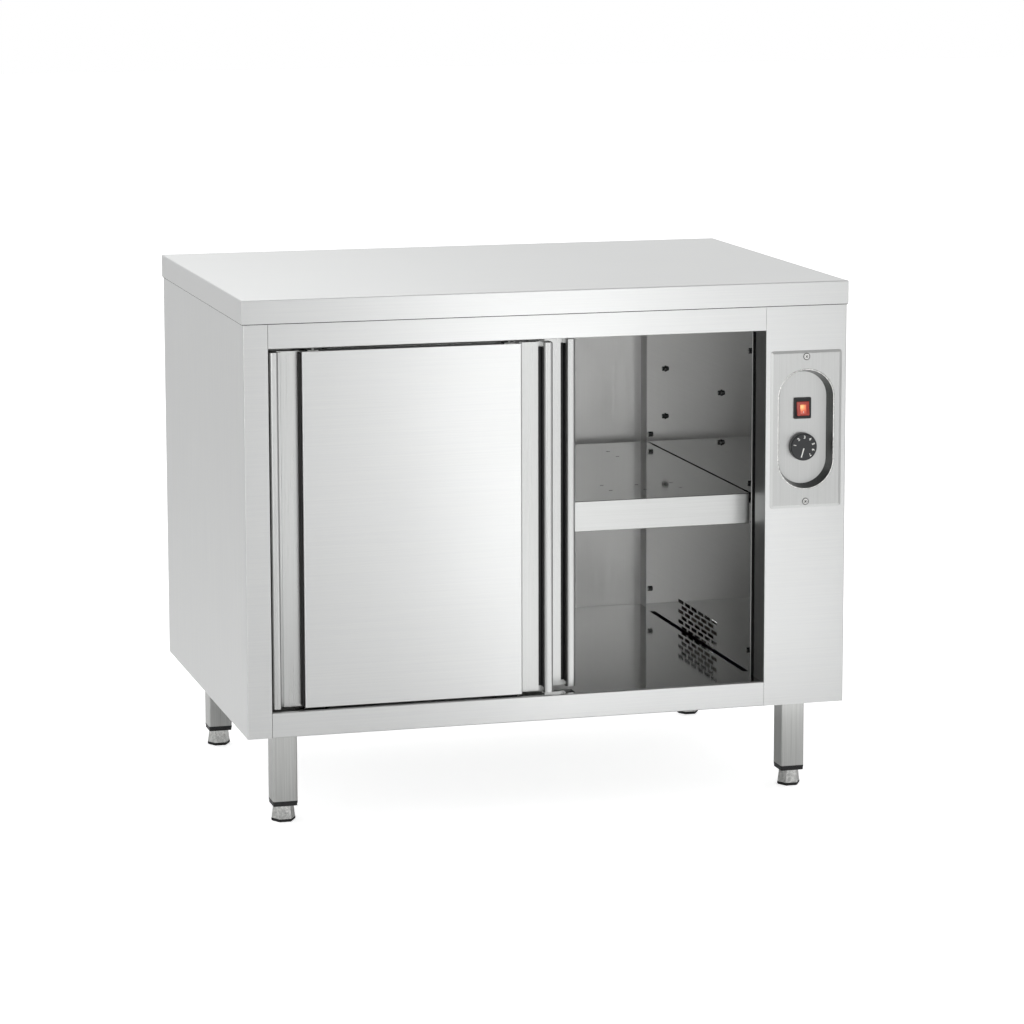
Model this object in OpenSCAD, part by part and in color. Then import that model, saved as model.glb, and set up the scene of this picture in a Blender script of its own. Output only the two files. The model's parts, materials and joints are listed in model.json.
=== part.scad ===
// Heated plate warmer cabinet with two top-hung sliding doors.
// Millimetres. The origin lies on the floor below the middle of the worktop,
// X points to the right, Y to the back and Z up. The doors are on the -Y side.

/* [Overall size] */
// Width of the worktop
overall_w = 1000; // [940:10:1400]
// Depth of the worktop
overall_d = 700; // [660:10:800]
// Height from the floor to the top of the worktop
overall_h = 850; // [840:5:950]
// Height from the floor to the underside of the body
body_clear = 153; // [130:1:180]

/* [Sheet metal] */
// Thickness of the body and liner sheets
sheet = 1.2; // [0.8:0.1:1.4]
// Outer radius of a folded edge
bend_r = 1.6; // [1.5:0.1:3]
// Width of the hidden flanges that join the panels
flange = 20; // [15:1:26]

/* [Worktop] */
// Height of the worktop's turned-down edge
skirt_h = 38; // [30:1:50]
// Thickness of the worktop sheet
top_sheet = 1.5; // [1:0.1:2]
// Outer radius of the worktop's upper edges
top_r = 2.2; // [2:0.1:4]
// How far the worktop stands out past the body all round
overhang = 2; // [2:0.5:6]
// Width of the lip turned in under the worktop's edge
top_lip = 14; // [10:1:20]
// Number of hat channels under the worktop
stiffener_count = 3; // [2:1:4]
// Width of a hat channel's closed side
stiffener_w = 40; // [30:1:60]
// Depth of a hat channel
stiffener_d = 25; // [15:1:27]
// Space between the end of a hat channel and the worktop's edge
stiffener_inset = 22; // [18:1:60]

/* [Front frame] */
// Width of the left stile
stile_w = 40; // [36:1:60]
// Width of the control fascia at the right
fascia_w = 138; // [132:1:180]
// Height of the top and bottom rails
rail_h = 40; // [39:1:50]
// Depth of the returns on both sides of the door opening
return_d = 50; // [42:1:55]
// Depth of the lips along the top and bottom of the door opening
rail_lip = 8; // [5:0.5:8]
// Depth of the rails' hidden flanges
rail_flange = 30; // [26:1:32]

/* [Liner] */
// Open gap between the returns and the liner's side walls
liner_gap = 19; // [17:1:25]
// Space between the liner's back wall and the outer back
back_space = 15; // [10:1:30]
// Depth of the strips folded forward from the liner's back wall
back_strip = 34; // [25:1:45]
// Width of the side walls' hidden flanges
wall_flange = 15; // [12:1:16]
// Height of the liner's ceiling above the door opening
ceiling_rise = 2; // [1.5:0.5:3]
// Width of the air slot along the right of the floor
air_slot_w = 5; // [3:0.5:8]
// Distance of the air slot from the wall's front edge
air_slot_front = 22; // [15:1:40]
// Distance of the air slot from the liner's back wall
air_slot_back = 71; // [50:1:100]

/* [Air grille] */
// Slots in a full row of the grille
grille_cols = 6; // [3:1:7]
// Rows of the grille
grille_rows = 6; // [2:1:7]
// Length of one slot
slot_l = 30; // [20:1:32]
// Height of one slot
slot_h = 6; // [4:0.5:7]
// Spacing of the slots along a row
slot_pitch = 36.8; // [35:0.2:38]
// Spacing of the rows
row_pitch = 9; // [8.5:0.5:10]
// Height of the lowest row's middle above the liner's floor
grille_base = 4.5; // [4:0.5:8]
// Place of the grille's middle behind the cabinet's middle
grille_y = 3; // [-20:1:20]

/* [Doors] */
// Distance of the front door behind the frame's face
door_setback = 8; // [8:0.5:10]
// Thickness of a door
door_d = 26; // [26:0.5:27]
// Space between the two doors
door_gap = 6; // [5:0.5:7]
// Width by which the closed doors lap each other
door_overlap = 108; // [90:1:120]
// Side clearance of a door in the opening
door_side_gap = 2.5; // [2:0.5:4]
// Clearance above a door
door_top_gap = 7; // [6:0.5:8]
// Clearance between a door and the bottom rail
door_bottom_gap = 4; // [3:0.5:6]
// How far the rear door stands open at rest
rear_door_rest = 46.5; // [0:1:120]
// Thickness of the door sheets
door_sheet = 1; // [0.8:0.1:1.2]
// Width of the rounded bead along a door's edge
bead_w = 15; // [12:0.5:16]
// Radius of the bead's front edges
bead_r = 5; // [3:0.5:5.5]
// Width of the groove beside the bead
groove_w = 6; // [4:0.5:8]
// Width of the flat grip strip
strip_w = 27; // [24:0.5:34]
// Width of the shadow gap beside the front panel
shadow_w = 4; // [3:0.5:6]
// Depth of the grip strip behind the door's front plane
strip_step = 15; // [12:0.5:16]
// Depth of the grooves behind the grip strip
groove_step = 4; // [3:0.5:4]
// Distance of the finger slots from a door's top and bottom
grip_end = 8; // [6:0.5:30]
// Radius of the front panel's folded edges
panel_r = 2; // [1.6:0.2:3]
// Width of the lips folded in behind the front panel
panel_lip = 12; // [8:1:20]

/* [Door gear] */
// Thickness of the track sheet
track_sheet = 1.5; // [1.2:0.1:1.8]
// Height of the track's underside above the door opening
track_rise = 2.5; // [2:0.5:3]
// Height of the upstanding lip that the rollers run on
track_lip = 9.5; // [9:0.5:10.5]
// Running radius of a roller
roller_run_r = 9; // [8:0.25:9.5]
// Radius of a roller's guiding flanges
roller_r = 11; // [10.5:0.25:11.5]
// Width of a roller
roller_w = 7; // [6:0.5:7.5]
// Radius of a roller's axle
axle_r = 3; // [2.5:0.25:4]
// Radial clearance of a turning shaft in its bore
run_fit = 0.05; // [0.03:0.01:0.08]
// Clearance between pieces that move past each other
clear = 0.3; // [0.2:0.05:0.4]
// Width of a hanger bracket
hanger_w = 18; // [16:1:24]
// Thickness of a hanger bracket
hanger_t = 2; // [1.5:0.25:2.5]
// Distance of a hanger from the door's edge
hanger_inset = 71; // [60:1:120]
// Length of a rubber stop in the track
stop_l = 10; // [6:1:20]
// Width of the floor guide
guide_w = 37; // [25:1:40]
// Distance of the floor guide left of the opening's middle
guide_shift = 19.5; // [0:0.5:22]
// Thickness of a guide fin
guide_fin_t = 4; // [3:0.25:4.2]
// Height of a guide fin inside the door
guide_fin_reach = 10; // [6:1:20]
// Thickness of the floor guide's foot
guide_base_t = 2; // [1.5:0.5:3]

/* [Shelf] */
// Distance of the shelf's front behind the liner's side walls' front
shelf_front = 3; // [2:1:80]
// Distance of the shelf's back from the liner's back wall
shelf_back = 37; // [20:1:80]
// Side clearance of the shelf
shelf_gap = 2.5; // [2:0.5:4]
// Height of the shelf's front edge
shelf_skirt = 50; // [30:1:60]
// Height of the shelf's side and back flanges
shelf_flange = 18.7; // [15:0.1:25]
// Width of the lip folded in under the shelf's front edge
shelf_lip = 10; // [6:1:20]
// Depth of the hat channel welded under the shelf
shelf_rib_d = 15; // [10:1:15]
// Height of the lowest shelf studs above the liner's floor
stud_first = 279.8; // [200:0.1:320]
// Spacing of the shelf studs
stud_pitch = 84; // [76:1:90]
// Number of shelf heights
stud_rows = 3; // [1:1:3]
// Distance of the front studs behind the side walls' front
stud_front = 159; // [120:1:200]
// Distance of the rear studs from the liner's back wall
stud_back = 143; // [100:1:180]
// Radius of a shelf stud
stud_r = 4; // [3:0.25:5]
// Length of a shelf stud inside the cavity
stud_l = 6; // [5.5:0.5:8]

/* [Liner bolts] */
// Distance of the front liner bolts from the side walls' front edges
bolt_inset = 7; // [6.5:0.5:16]
// Distance of the rear liner bolts from the side walls' back edges
bolt_inset_back = 23; // [10:0.5:30]
// Height of the lowest bolts above the liner's floor
bolt_low = 39; // [20:1:60]
// Height of the middle bolts above the liner's floor
bolt_mid = 318.7; // [250:0.1:340]
// Distance of the upper bolts below the ceiling
bolt_high = 44; // [30:1:80]
// Radius over the corners of a bolt's hexagon head
bolt_head_r = 4.6; // [4:0.2:5.5]
// Height of a bolt's head
bolt_head_h = 4.2; // [3:0.2:4.4]

/* [Control panel] */
// Width of the control plate
plate_w = 122; // [112:1:124]
// Height of the control plate
plate_h = 258; // [240:1:300]
// Distance of the control plate's middle below the body's top
plate_drop = 203; // [160:1:260]
// How far the control plate stands out from the fascia
plate_t = 1.5; // [1.2:0.1:1.6]
// Width of the bevel round the control plate
plate_bevel = 4.5; // [3:0.5:6]
// Corner radius of the control plate
plate_r = 5; // [3:0.5:8]
// Width of the recess at its rim
recess_w = 94; // [86:1:98]
// Height of the recess at its rim
recess_h = 195; // [180:1:200]
// Depth of the recess
recess_d = 20; // [16:0.5:24]
// Slope of the recess wall, as a change of radius
recess_draft = 5.5; // [4:0.5:8]
// Distance of the plate's screws from its middle
plate_screw = 119; // [112:0.5:119]
// Height of the switch above the plate's middle
switch_up = 32; // [26:0.5:36]
// Distance of the knob below the plate's middle
knob_down = 31; // [28:0.5:34]
// Width of the switch's bezel
bezel_w = 30; // [29:0.5:32]
// Height of the switch's bezel
bezel_h = 35; // [34:0.5:37]
// Thickness of the switch's bezel
bezel_t = 2; // [1.5:0.25:2.5]
// Width of the rocker
rocker_w = 23; // [20:0.5:23]
// Height of the rocker
rocker_h = 26.5; // [22:0.5:27]
// Angle between the rocker's two faces
rocker_angle = 14; // [10:1:16]
// Depth of the rocker's pivot behind the bezel's face
pivot_depth = 3; // [2:0.5:3.5]
// Diameter of the knob
knob_dia = 45; // [40:0.5:50]
// Height of the knob above the recess's floor
knob_h = 12; // [10:0.5:16]
// Radius of the thermostat's spindle
spindle_r = 3; // [2.5:0.25:3.5]

/* [Heater and fan] */
// Depth of the heater box behind the side wall
heater_box_d = 70; // [60:1:72]
// Distance from the grille to the heater box's end walls
heater_box_end = 16; // [10:1:24]
// Height of the heater box
heater_box_h = 90; // [86:1:100]
// Thickness of the heater box's sheet
heater_sheet = 1; // [0.8:0.1:1.2]
// Radius of the heater's tube
heater_r = 4; // [3.5:0.25:5]
// Radius of the heater's fins
heater_fin_r = 12; // [10:0.5:14]
// Spacing of the heater's fins
heater_fin_pitch = 8; // [6:0.5:12]
// Spacing of the heater's two runs
heater_run_gap = 32; // [29:1:40]
// Side of the fan's square frame
fan_size = 80; // [70:1:82]
// Depth of the fan's frame
fan_d = 25; // [20:1:28]
// Number of fan blades
fan_blades = 7; // [5:1:9]
// Pitch angle of a fan blade
blade_tilt = 35; // [25:1:45]

/* [Legs and feet] */
// Side of a leg's square tube
leg_w = 40; // [38:1:45]
// Wall of a leg's tube
leg_wall = 1.5; // [1.2:0.1:2]
// Corner radius of a leg's tube
leg_r = 3; // [2.5:0.25:4]
// Distance of the legs' front and back faces from the body's faces
leg_inset_y = 55.5; // [52:0.5:70]
// Distance of the left legs from the body's left face
leg_inset_l = 51; // [42:0.5:70]
// Distance of the right legs from the body's right face
leg_inset_r = 47; // [42:0.5:70]
// Length of the plate on top of a leg
leg_plate_l = 84; // [80:1:90]
// Thickness of the plate on top of a leg
leg_plate_t = 3; // [2:0.5:4]
// Height of a foot from the floor to the insert
foot_h = 27; // [24:1:40]
// Height of the black insert below the tube
insert_h = 8; // [6:0.5:12]
// Length of the insert inside the tube
insert_plug = 27; // [20:1:35]
// Width over the flats at the top of a foot's sleeve
foot_top_w = 29; // [26:0.5:32]
// Width over the flats at the bottom of a foot's sleeve
foot_low_w = 33.5; // [30:0.5:37]
// Height of the rubber ring under a foot
foot_ring_h = 5; // [4:0.5:8]
// Radius of a foot's threaded stem
stem_r = 5; // [4:0.25:6]
// Distance that a foot screws out
foot_travel = 25; // [10:1:25]

/* [Mains inlet] */
// Bore radius of the cable gland
gland_bore_r = 5; // [3.5:0.25:5.5]
// Radius of the cable gland's threaded body
gland_r = 10; // [8:0.5:11]
// Distance of the cable gland from the body's back
gland_y = 190; // [184:1:196]

/* [Hidden] */
$fn = 48;

steel = [0.80, 0.81, 0.81];
liner_steel = [0.62, 0.63, 0.63];
rubber_black = [0.08, 0.08, 0.08];
eps = 0.01;

// Body
body_x = overall_w / 2 - overhang;
body_y = overall_d / 2 - overhang;
body_top = overall_h - skirt_h;
open_l = stile_w - body_x;
open_r = body_x - fascia_w;
open_top = body_top - rail_h;
sill = body_clear + rail_h;
floor_top = sill - sheet;
pan_z = body_clear + sheet;
pan_top = pan_z + sheet;
wall_front = return_d + liner_gap - body_y;
liner_back = body_y - back_space;
wall_back = liner_back - back_strip;
ceiling_z = open_top + ceiling_rise;

// Doors
open_w = open_r - open_l;
door_w = (open_w - 2 * door_side_gap + door_overlap) / 2;
door_z = sill + door_bottom_gap;
door_top = open_top - door_top_gap;
door_h = door_top - door_z;
front_y = door_setback - body_y;
rear_y = front_y + door_d + door_gap;
front_x = open_l + door_side_gap;
rear_x = front_x + rear_door_rest;
base_depth = strip_step + groove_step;
margin = bead_w + groove_w + strip_w + shadow_w;

// Door gear, measured back from a door's front plane
lane = door_d / 2;
hanger_leg = lane + roller_w / 2 + 2.5;
track_z = open_top + track_rise;
rail_z = track_z + track_lip;
axle_z = rail_z + clear + roller_run_r;
track_top = body_top - sheet;
stop_reach = hanger_inset - roller_r - clear;
guide_x = (open_l + open_r) / 2 - guide_shift;
fin_mid = (base_depth + door_d) / 2;

// Shelf
stud_z = floor_top + stud_first;
shelf_z = stud_z + stud_r + clear + shelf_flange;
shelf_x0 = open_l + shelf_gap;
shelf_x1 = open_r - shelf_gap;
shelf_y0 = wall_front + shelf_front;
shelf_y1 = liner_back - shelf_back;
shelf_mid_y = (shelf_y0 + shelf_y1) / 2;

// Control panel
plate_x = body_x - fascia_w / 2;
plate_z = body_top - plate_drop;
plate_y = -body_y - plate_t;
recess_y = plate_y + recess_d;
recess_back = recess_y + sheet;
switch_z = plate_z + switch_up;
knob_z = plate_z - knob_down;
pivot_y = recess_y - bezel_t + pivot_depth;
rocker_gap = 0.35;
switch_wall = 1.6;
switch_back = recess_y + 25;
thermo_back = recess_back + 24;
bush_r = spindle_r + 1.9;
bush_y = recess_y - 3.5;

// Heater box behind the side wall
box_x = open_r + sheet;
box_far = box_x + heater_box_d;
grille_len = (grille_cols - 1) * slot_pitch + slot_l;
box_y0 = grille_y - grille_len / 2 - heater_box_end;
box_y1 = grille_y + grille_len / 2 + heater_box_end;
grille_z = floor_top + grille_base;
box_z = grille_z + (grille_rows - 1) * row_pitch / 2 + 2 - heater_box_h / 2;
box_mid_z = box_z + heater_box_h / 2;
fan_ring_r = fan_size / 2 - 2;
hub_r = 16;
fan_shaft_r = 2;
heater_x = box_x + heater_box_d / 2;

// Legs and feet
leg_l = leg_inset_l + leg_w / 2 - body_x;
leg_r_x = body_x - leg_inset_r - leg_w / 2;
leg_y = body_y - leg_inset_y - leg_w / 2;
tube_z = foot_h + insert_h;
leg_plate_z = pan_z - leg_plate_t;
legs_at = [[leg_l, -leg_y], [leg_r_x, -leg_y], [leg_l, leg_y], [leg_r_x, leg_y]];
leg_bolt_at = leg_plate_l / 2 - 11;

// A block between two opposite corners
module block(low, high) {
    translate(low) cube(high - low);
}

// A 2D outline drawn in Y and Z, run along X
module along_x(x0, x1) {
    translate([x0, 0, 0])
        rotate([90, 0, 90])
            linear_extrude(x1 - x0) children();
}

// A 2D outline drawn in X and Z, run along Y
module along_y(y0, y1) {
    translate([0, y1, 0])
        rotate([90, 0, 0])
            linear_extrude(y1 - y0) children();
}

// A round bar along Y
module bar_y(x, z, y0, y1, r, sides = 48) {
    translate([x, y1, z])
        rotate([90, 0, 0])
            cylinder(r = r, h = y1 - y0, $fn = sides);
}

// A round bar along X
module bar_x(y, z, x0, x1, r, sides = 48) {
    translate([x0, y, z])
        rotate([0, 90, 0])
            cylinder(r = r, h = x1 - x0, $fn = sides);
}

// A strip of sheet that turns a square, rounded corner at each inner point
module folded(path, t, r) {
    rc = r - t / 2;
    last = len(path) - 1;
    for (i = [0:last - 1]) {
        dir = (path[i + 1] - path[i]) / norm(path[i + 1] - path[i]);
        start = path[i] + (i == 0 ? 0 : rc) * dir;
        stop = path[i + 1] - (i == last - 1 ? 0 : rc) * dir;
        translate(start)
            rotate(atan2(dir.y, dir.x))
                translate([0, -t / 2]) square([norm(stop - start), t]);
    }
    for (i = [1:last - 1]) {
        before = (path[i] - path[i - 1]) / norm(path[i] - path[i - 1]);
        after = (path[i + 1] - path[i]) / norm(path[i + 1] - path[i]);
        translate(path[i] - rc * before + rc * after)
            intersection() {
                difference() {
                    circle(r);
                    circle(r - t);
                }
                polygon([[0, 0], r * before, r * (before - after), -r * after]);
            }
    }
}

// A rectangle with round corners, centred on the origin
module rounded(w, h, r) {
    square([w - 2 * r, h], center = true);
    square([w, h - 2 * r], center = true);
    for (x = [r - w / 2, w / 2 - r], y = [r - h / 2, h / 2 - r])
        translate([x, y]) circle(r);
}

// A hat channel hanging under a sheet, drawn with its flanges at height 0
module hat(w, d, t, r) {
    edge = w / 2 - t / 2;
    folded([
        [-edge - 14, -t / 2], [-edge, -t / 2], [-edge, t / 2 - d],
        [edge, t / 2 - d], [edge, -t / 2], [edge + 14, -t / 2]
    ], t, r);
}

// Worktop and body

// A block whose four upper edges are rounded
module folded_top(w, d, z0, z1, r) {
    intersection() {
        along_y(-d / 2, d / 2) top_outline(w, z0, z1, r);
        along_x(-w / 2, w / 2) top_outline(d, z0, z1, r);
    }
}

module top_outline(w, z0, z1, r) {
    translate([-w / 2, z0]) square([w, z1 - r - z0]);
    translate([r - w / 2, z0]) square([w - 2 * r, z1 - z0]);
    for (x = [r - w / 2, w / 2 - r])
        translate([x, z1 - r]) circle(r);
}

module worktop() {
    inner_w = overall_w - 2 * top_sheet;
    inner_d = overall_d - 2 * top_sheet;
    color(steel) {
        difference() {
            folded_top(overall_w, overall_d, body_top, overall_h, top_r);
            folded_top(inner_w, inner_d, body_top - 1, overall_h - top_sheet, top_r - top_sheet);
        }
        difference() {
            block([-inner_w / 2, -inner_d / 2, body_top],
                  [inner_w / 2, inner_d / 2, body_top + top_sheet]);
            block([top_lip - inner_w / 2, top_lip - inner_d / 2, body_top - 1],
                  [inner_w / 2 - top_lip, inner_d / 2 - top_lip, body_top + top_sheet + 1]);
        }
    }
}

module worktop_stiffeners() {
    reach = overall_w / 2 - stiffener_inset;
    step = overall_d / (stiffener_count + 1);
    color(steel)
        for (i = [1:stiffener_count])
            translate([0, i * step - overall_d / 2, overall_h - top_sheet])
                along_x(-reach, reach)
                    hat(stiffener_w, stiffener_d, sheet, bend_r);
}

// A side panel seen from above: a rear return, the side, the front and a return
module side_outline(front_w) {
    half = sheet / 2;
    folded([
        [flange - body_x, body_y - half], [half - body_x, body_y - half],
        [half - body_x, half - body_y], [front_w - half - body_x, half - body_y],
        [front_w - half - body_x, return_d - body_y]
    ], sheet, bend_r);
}

// The flanges that close a side panel at one height
module side_flange(z0, front_w) {
    inner_x = sheet - body_x;
    block([inner_x, sheet - body_y, z0], [flange - body_x, body_y - sheet, z0 + sheet]);
    block([inner_x, sheet - body_y, z0],
          [front_w - sheet - body_x, rail_flange - body_y, z0 + sheet]);
}

module side_panel(front_w) {
    difference() {
        translate([0, 0, body_clear])
            linear_extrude(body_top - body_clear) side_outline(front_w);
        for (z = screw_rows)
            bar_y(flange / 2 - body_x, z, back_out - 1, body_y + 1, 2);
    }
    side_flange(body_clear, front_w);
    side_flange(body_top - sheet, front_w);
}

module left_side_panel() {
    color(steel) side_panel(stile_w);
}

module right_side_panel() {
    cut_w = recess_w + 8;
    cut_h = recess_h + 8;
    color(steel)
        difference() {
            mirror([1, 0, 0]) side_panel(fascia_w);
            block([plate_x - cut_w / 2, -body_y - 1, plate_z - cut_h / 2],
                  [plate_x + cut_w / 2, sheet + 1 - body_y, plate_z + cut_h / 2]);
            for (s = [-1, 1])
                bar_y(plate_x, plate_z + s * plate_screw, -body_y - 1, sheet + 1 - body_y, 2);
        }
}

back_out = body_y - sheet;
back_in = back_out - sheet;
back_x = body_x - sheet - 0.5;
screw_cols = [flange / 2 - body_x, body_x - flange / 2];
screw_rows = [for (i = [0:4]) body_clear + 60 + i * (body_top - body_clear - 120) / 4];

// The outer back, with cooling slots behind the control space
module back_panel() {
    color(steel)
        difference() {
            block([-back_x, back_in, pan_z], [back_x, back_out, track_top]);
            for (x = screw_cols, z = screw_rows)
                bar_y(x, z, back_in - 1, back_out + 1, 2);
            for (i = [0:7])
                translate([plate_x, back_out + 1, body_top - 70 - i * 12])
                    rotate([90, 0, 0])
                        linear_extrude(sheet + 2) rounded(70, 5, 2.4);
        }
}

module back_screws() {
    color(steel)
        for (x = screw_cols, z = screw_rows) {
            bar_y(x, z, back_in - 6, body_y, 1.9);
            translate([x, body_y, z])
                rotate([-90, 0, 0])
                    cylinder(r1 = 4, r2 = 2.8, h = 1.8);
        }
}

module top_rail() {
    half = sheet / 2;
    color(steel)
        along_x(open_l, open_r)
            folded([
                [rail_lip - body_y, open_top + half], [half - body_y, open_top + half],
                [half - body_y, body_top - half], [rail_flange - body_y, body_top - half]
            ], sheet, bend_r);
}

module bottom_rail() {
    half = sheet / 2;
    color(steel)
        along_x(open_l, open_r)
            folded([
                [rail_lip - body_y, sill - half], [half - body_y, sill - half],
                [half - body_y, body_clear + half], [rail_flange - body_y, body_clear + half]
            ], sheet, bend_r);
}

// The bottom of the body, with cooling slots below the control space
module base_pan() {
    color(steel)
        difference() {
            union() {
                block([-back_x, sheet + 0.5 - body_y, pan_z], [back_x, back_in, pan_top]);
                block([-back_x, back_in - sheet, pan_top], [back_x, back_in, pan_top + flange]);
            }
            for (at = legs_at, s = [-1, 1])
                translate([at.x, at.y + s * leg_bolt_at, pan_z - 1])
                    cylinder(r = 3.2, h = sheet + 2);
            translate([plate_x, body_y - gland_y, pan_z - 1])
                cylinder(r = gland_r + 0.1, h = sheet + 2);
            for (i = [0:9])
                translate([plate_x, i * 14 - 190, pan_z - 1])
                    linear_extrude(sheet + 2) rounded(60, 5, 2.4);
            for (x = [open_l - sheet - 0.5, open_r - 0.5])
                block([x, -body_y, pan_z - 1],
                      [x + sheet + 1, return_d + 0.5 - body_y, pan_top + 1]);
        }
}

// Liner

module cavity_floor() {
    half = sheet / 2;
    front = half - back_out;
    color(liner_steel)
        difference() {
            along_x(open_l, open_r)
                folded([
                    [front, pan_top], [front, floor_top - half],
                    [liner_back - half, floor_top - half], [liner_back - half, pan_top]
                ], sheet, bend_r);
            block([open_r - air_slot_w, wall_front + air_slot_front, floor_top - sheet - 1],
                  [open_r + 1, liner_back - air_slot_back, floor_top + 1]);
        }
}

// Draws its children at the right side wall and mirrored at the left one
module both_walls() {
    children();
    left_wall() children();
}

module left_wall() {
    translate([open_l + open_r, 0, 0])
        mirror([1, 0, 0]) children();
}

bolt_rows = [floor_top + bolt_low, floor_top + bolt_mid, ceiling_z - bolt_high];
bolt_cols = [wall_front + bolt_inset, wall_back - bolt_inset_back];
stud_levels = [for (i = [0:stud_rows - 1]) stud_z + i * stud_pitch];
stud_cols = [wall_front + stud_front, liner_back - stud_back];

module side_wall() {
    half = sheet / 2;
    far = open_r + wall_flange;
    difference() {
        union() {
            translate([0, 0, pan_top])
                linear_extrude(ceiling_z - pan_top)
                    folded([
                        [far, wall_front + half], [open_r + half, wall_front + half],
                        [open_r + half, wall_back - half], [far, wall_back - half]
                    ], sheet, bend_r);
            for (z = [pan_top, ceiling_z - sheet])
                block([open_r + half, wall_front + half, z], [far, wall_back - half, z + sheet]);
        }
        for (y = bolt_cols, z = bolt_rows)
            bar_x(y, z, open_r - 1, open_r + sheet + 1, 2);
        for (y = stud_cols, z = stud_levels)
            bar_x(y, z, open_r - 1, open_r + sheet + 1, 3);
    }
}

module inner_left_wall() {
    color(liner_steel) left_wall() side_wall();
}

// The air slots lie like bricks: every second row is half a step aside
module grille_slots() {
    for (row = [0:grille_rows - 1]) {
        full = (grille_rows - 1 - row) % 2 == 0;
        count = full ? grille_cols : grille_cols - 1;
        for (i = [0:count - 1])
            translate([
                open_r - 1,
                grille_y + (i - (count - 1) / 2) * slot_pitch - slot_l / 2,
                grille_z + row * row_pitch - slot_h / 2
            ]) cube([sheet + 2, slot_l, slot_h]);
    }
}

module partition_wall() {
    color(liner_steel)
        difference() {
            side_wall();
            grille_slots();
        }
}

module inner_back_wall() {
    half = sheet / 2;
    front = wall_back + 0.5;
    color(liner_steel)
        translate([0, 0, pan_top])
            linear_extrude(ceiling_z - pan_top)
                folded([
                    [open_r + half, front], [open_r + half, liner_back + half],
                    [open_l - half, liner_back + half], [open_l - half, front]
                ], sheet, bend_r);
}

module cavity_ceiling() {
    half = sheet / 2;
    x0 = open_l - wall_flange;
    x1 = open_r + wall_flange;
    color(liner_steel) {
        along_x(x0, x1)
            folded([
                [wall_front + half, track_top], [wall_front + half, ceiling_z + half],
                [liner_back + half, ceiling_z + half], [liner_back + half, track_top]
            ], sheet, bend_r);
        for (x = [x0, x1 - sheet])
            block([x, wall_front + half, ceiling_z + half],
                  [x + sheet, liner_back + half, ceiling_z + flange]);
    }
}

module liner_bolts() {
    back = open_r + sheet;
    color(steel)
        both_walls()
            for (y = bolt_cols, z = bolt_rows) {
                bar_x(y, z, open_r - bolt_head_h, open_r, bolt_head_r, 6);
                bar_x(y, z, open_r - bolt_head_h, back + 5, 1.9);
                bar_x(y, z, back, back + 3, bolt_head_r, 6);
            }
}

module shelf_studs() {
    back = open_r + sheet;
    tip = open_r - stud_l;
    color(steel)
        both_walls()
            for (y = stud_cols, z = stud_levels) {
                bar_x(y, z, open_r - 1.5, open_r, stud_r + 1.5);
                bar_x(y, z, tip + 0.8, open_r, stud_r);
                translate([tip, y, z])
                    rotate([0, 90, 0])
                        cylinder(r1 = stud_r - 0.8, r2 = stud_r, h = 0.8);
                bar_x(y, z, open_r, back + 6, 2.9);
                bar_x(y, z, back, back + 4, 5.2, 6);
            }
}

// Door gear

module door_track() {
    half = track_sheet / 2;
    web = lane - roller_w / 2 - 6.75;
    color(liner_steel)
        along_x(open_l, open_r)
            folded([
                [front_y + lane, rail_z], [front_y + lane, track_z + half],
                [front_y + web, track_z + half], [front_y + web, track_top - half],
                [rear_y + web, track_top - half], [rear_y + web, track_z + half],
                [rear_y + lane, track_z + half], [rear_y + lane, rail_z]
            ], track_sheet, track_sheet + 0.6);
}

module track_stops() {
    color(rubber_black)
        for (y = [front_y, rear_y], end = [0, 1]) {
            x = end == 0
                ? front_x + stop_reach - stop_l
                : open_r - door_side_gap - stop_reach;
            difference() {
                block([x, y + lane - 5, track_z + track_sheet],
                      [x + stop_l, y + lane + 5, axle_z + 4]);
                block([x - 1, y + lane - track_sheet / 2, track_z],
                      [x + stop_l + 1, y + lane + track_sheet / 2, rail_z]);
                block([x - 1, y + lane + track_sheet / 2 - eps, track_z],
                      [x + stop_l + 1, y + lane + 6, rail_z - 6]);
                block([x - 1, y + lane - track_sheet / 2 - 1, track_z],
                      [x + stop_l + 1, y + lane, track_z + track_sheet + 1]);
            }
        }
}

module floor_guide() {
    base_edge = guide_fin_t / 2 + 2;
    color(rubber_black) {
        block([guide_x - guide_w / 2, front_y + fin_mid - base_edge, floor_top],
              [guide_x + guide_w / 2, rear_y + fin_mid + base_edge, floor_top + guide_base_t]);
        for (y = [front_y, rear_y])
            translate([guide_x, y + fin_mid, floor_top])
                linear_extrude(door_z + guide_fin_reach - floor_top)
                    rounded(guide_w, guide_fin_t, guide_fin_t / 2 - 0.1);
    }
}

// Control panel

// The recess between two depths: a long hole whose wall slopes inwards
module recess_form(y0, y1, grow) {
    slope = recess_draft / recess_d;
    r0 = recess_w / 2 + grow - slope * (y0 - plate_y);
    r1 = recess_w / 2 + grow - slope * (y1 - plate_y);
    straight = (recess_h - recess_w) / 2;
    for (s = [-1, 1])
        translate([plate_x, y1, plate_z + s * straight])
            rotate([90, 0, 0]) cylinder(r1 = r1, r2 = r0, h = y1 - y0, $fn = 96);
    translate([plate_x, 0, plate_z - straight])
        linear_extrude(2 * straight)
            polygon([[-r0, y0], [r0, y0], [r1, y1], [-r1, y1]]);
}

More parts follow.
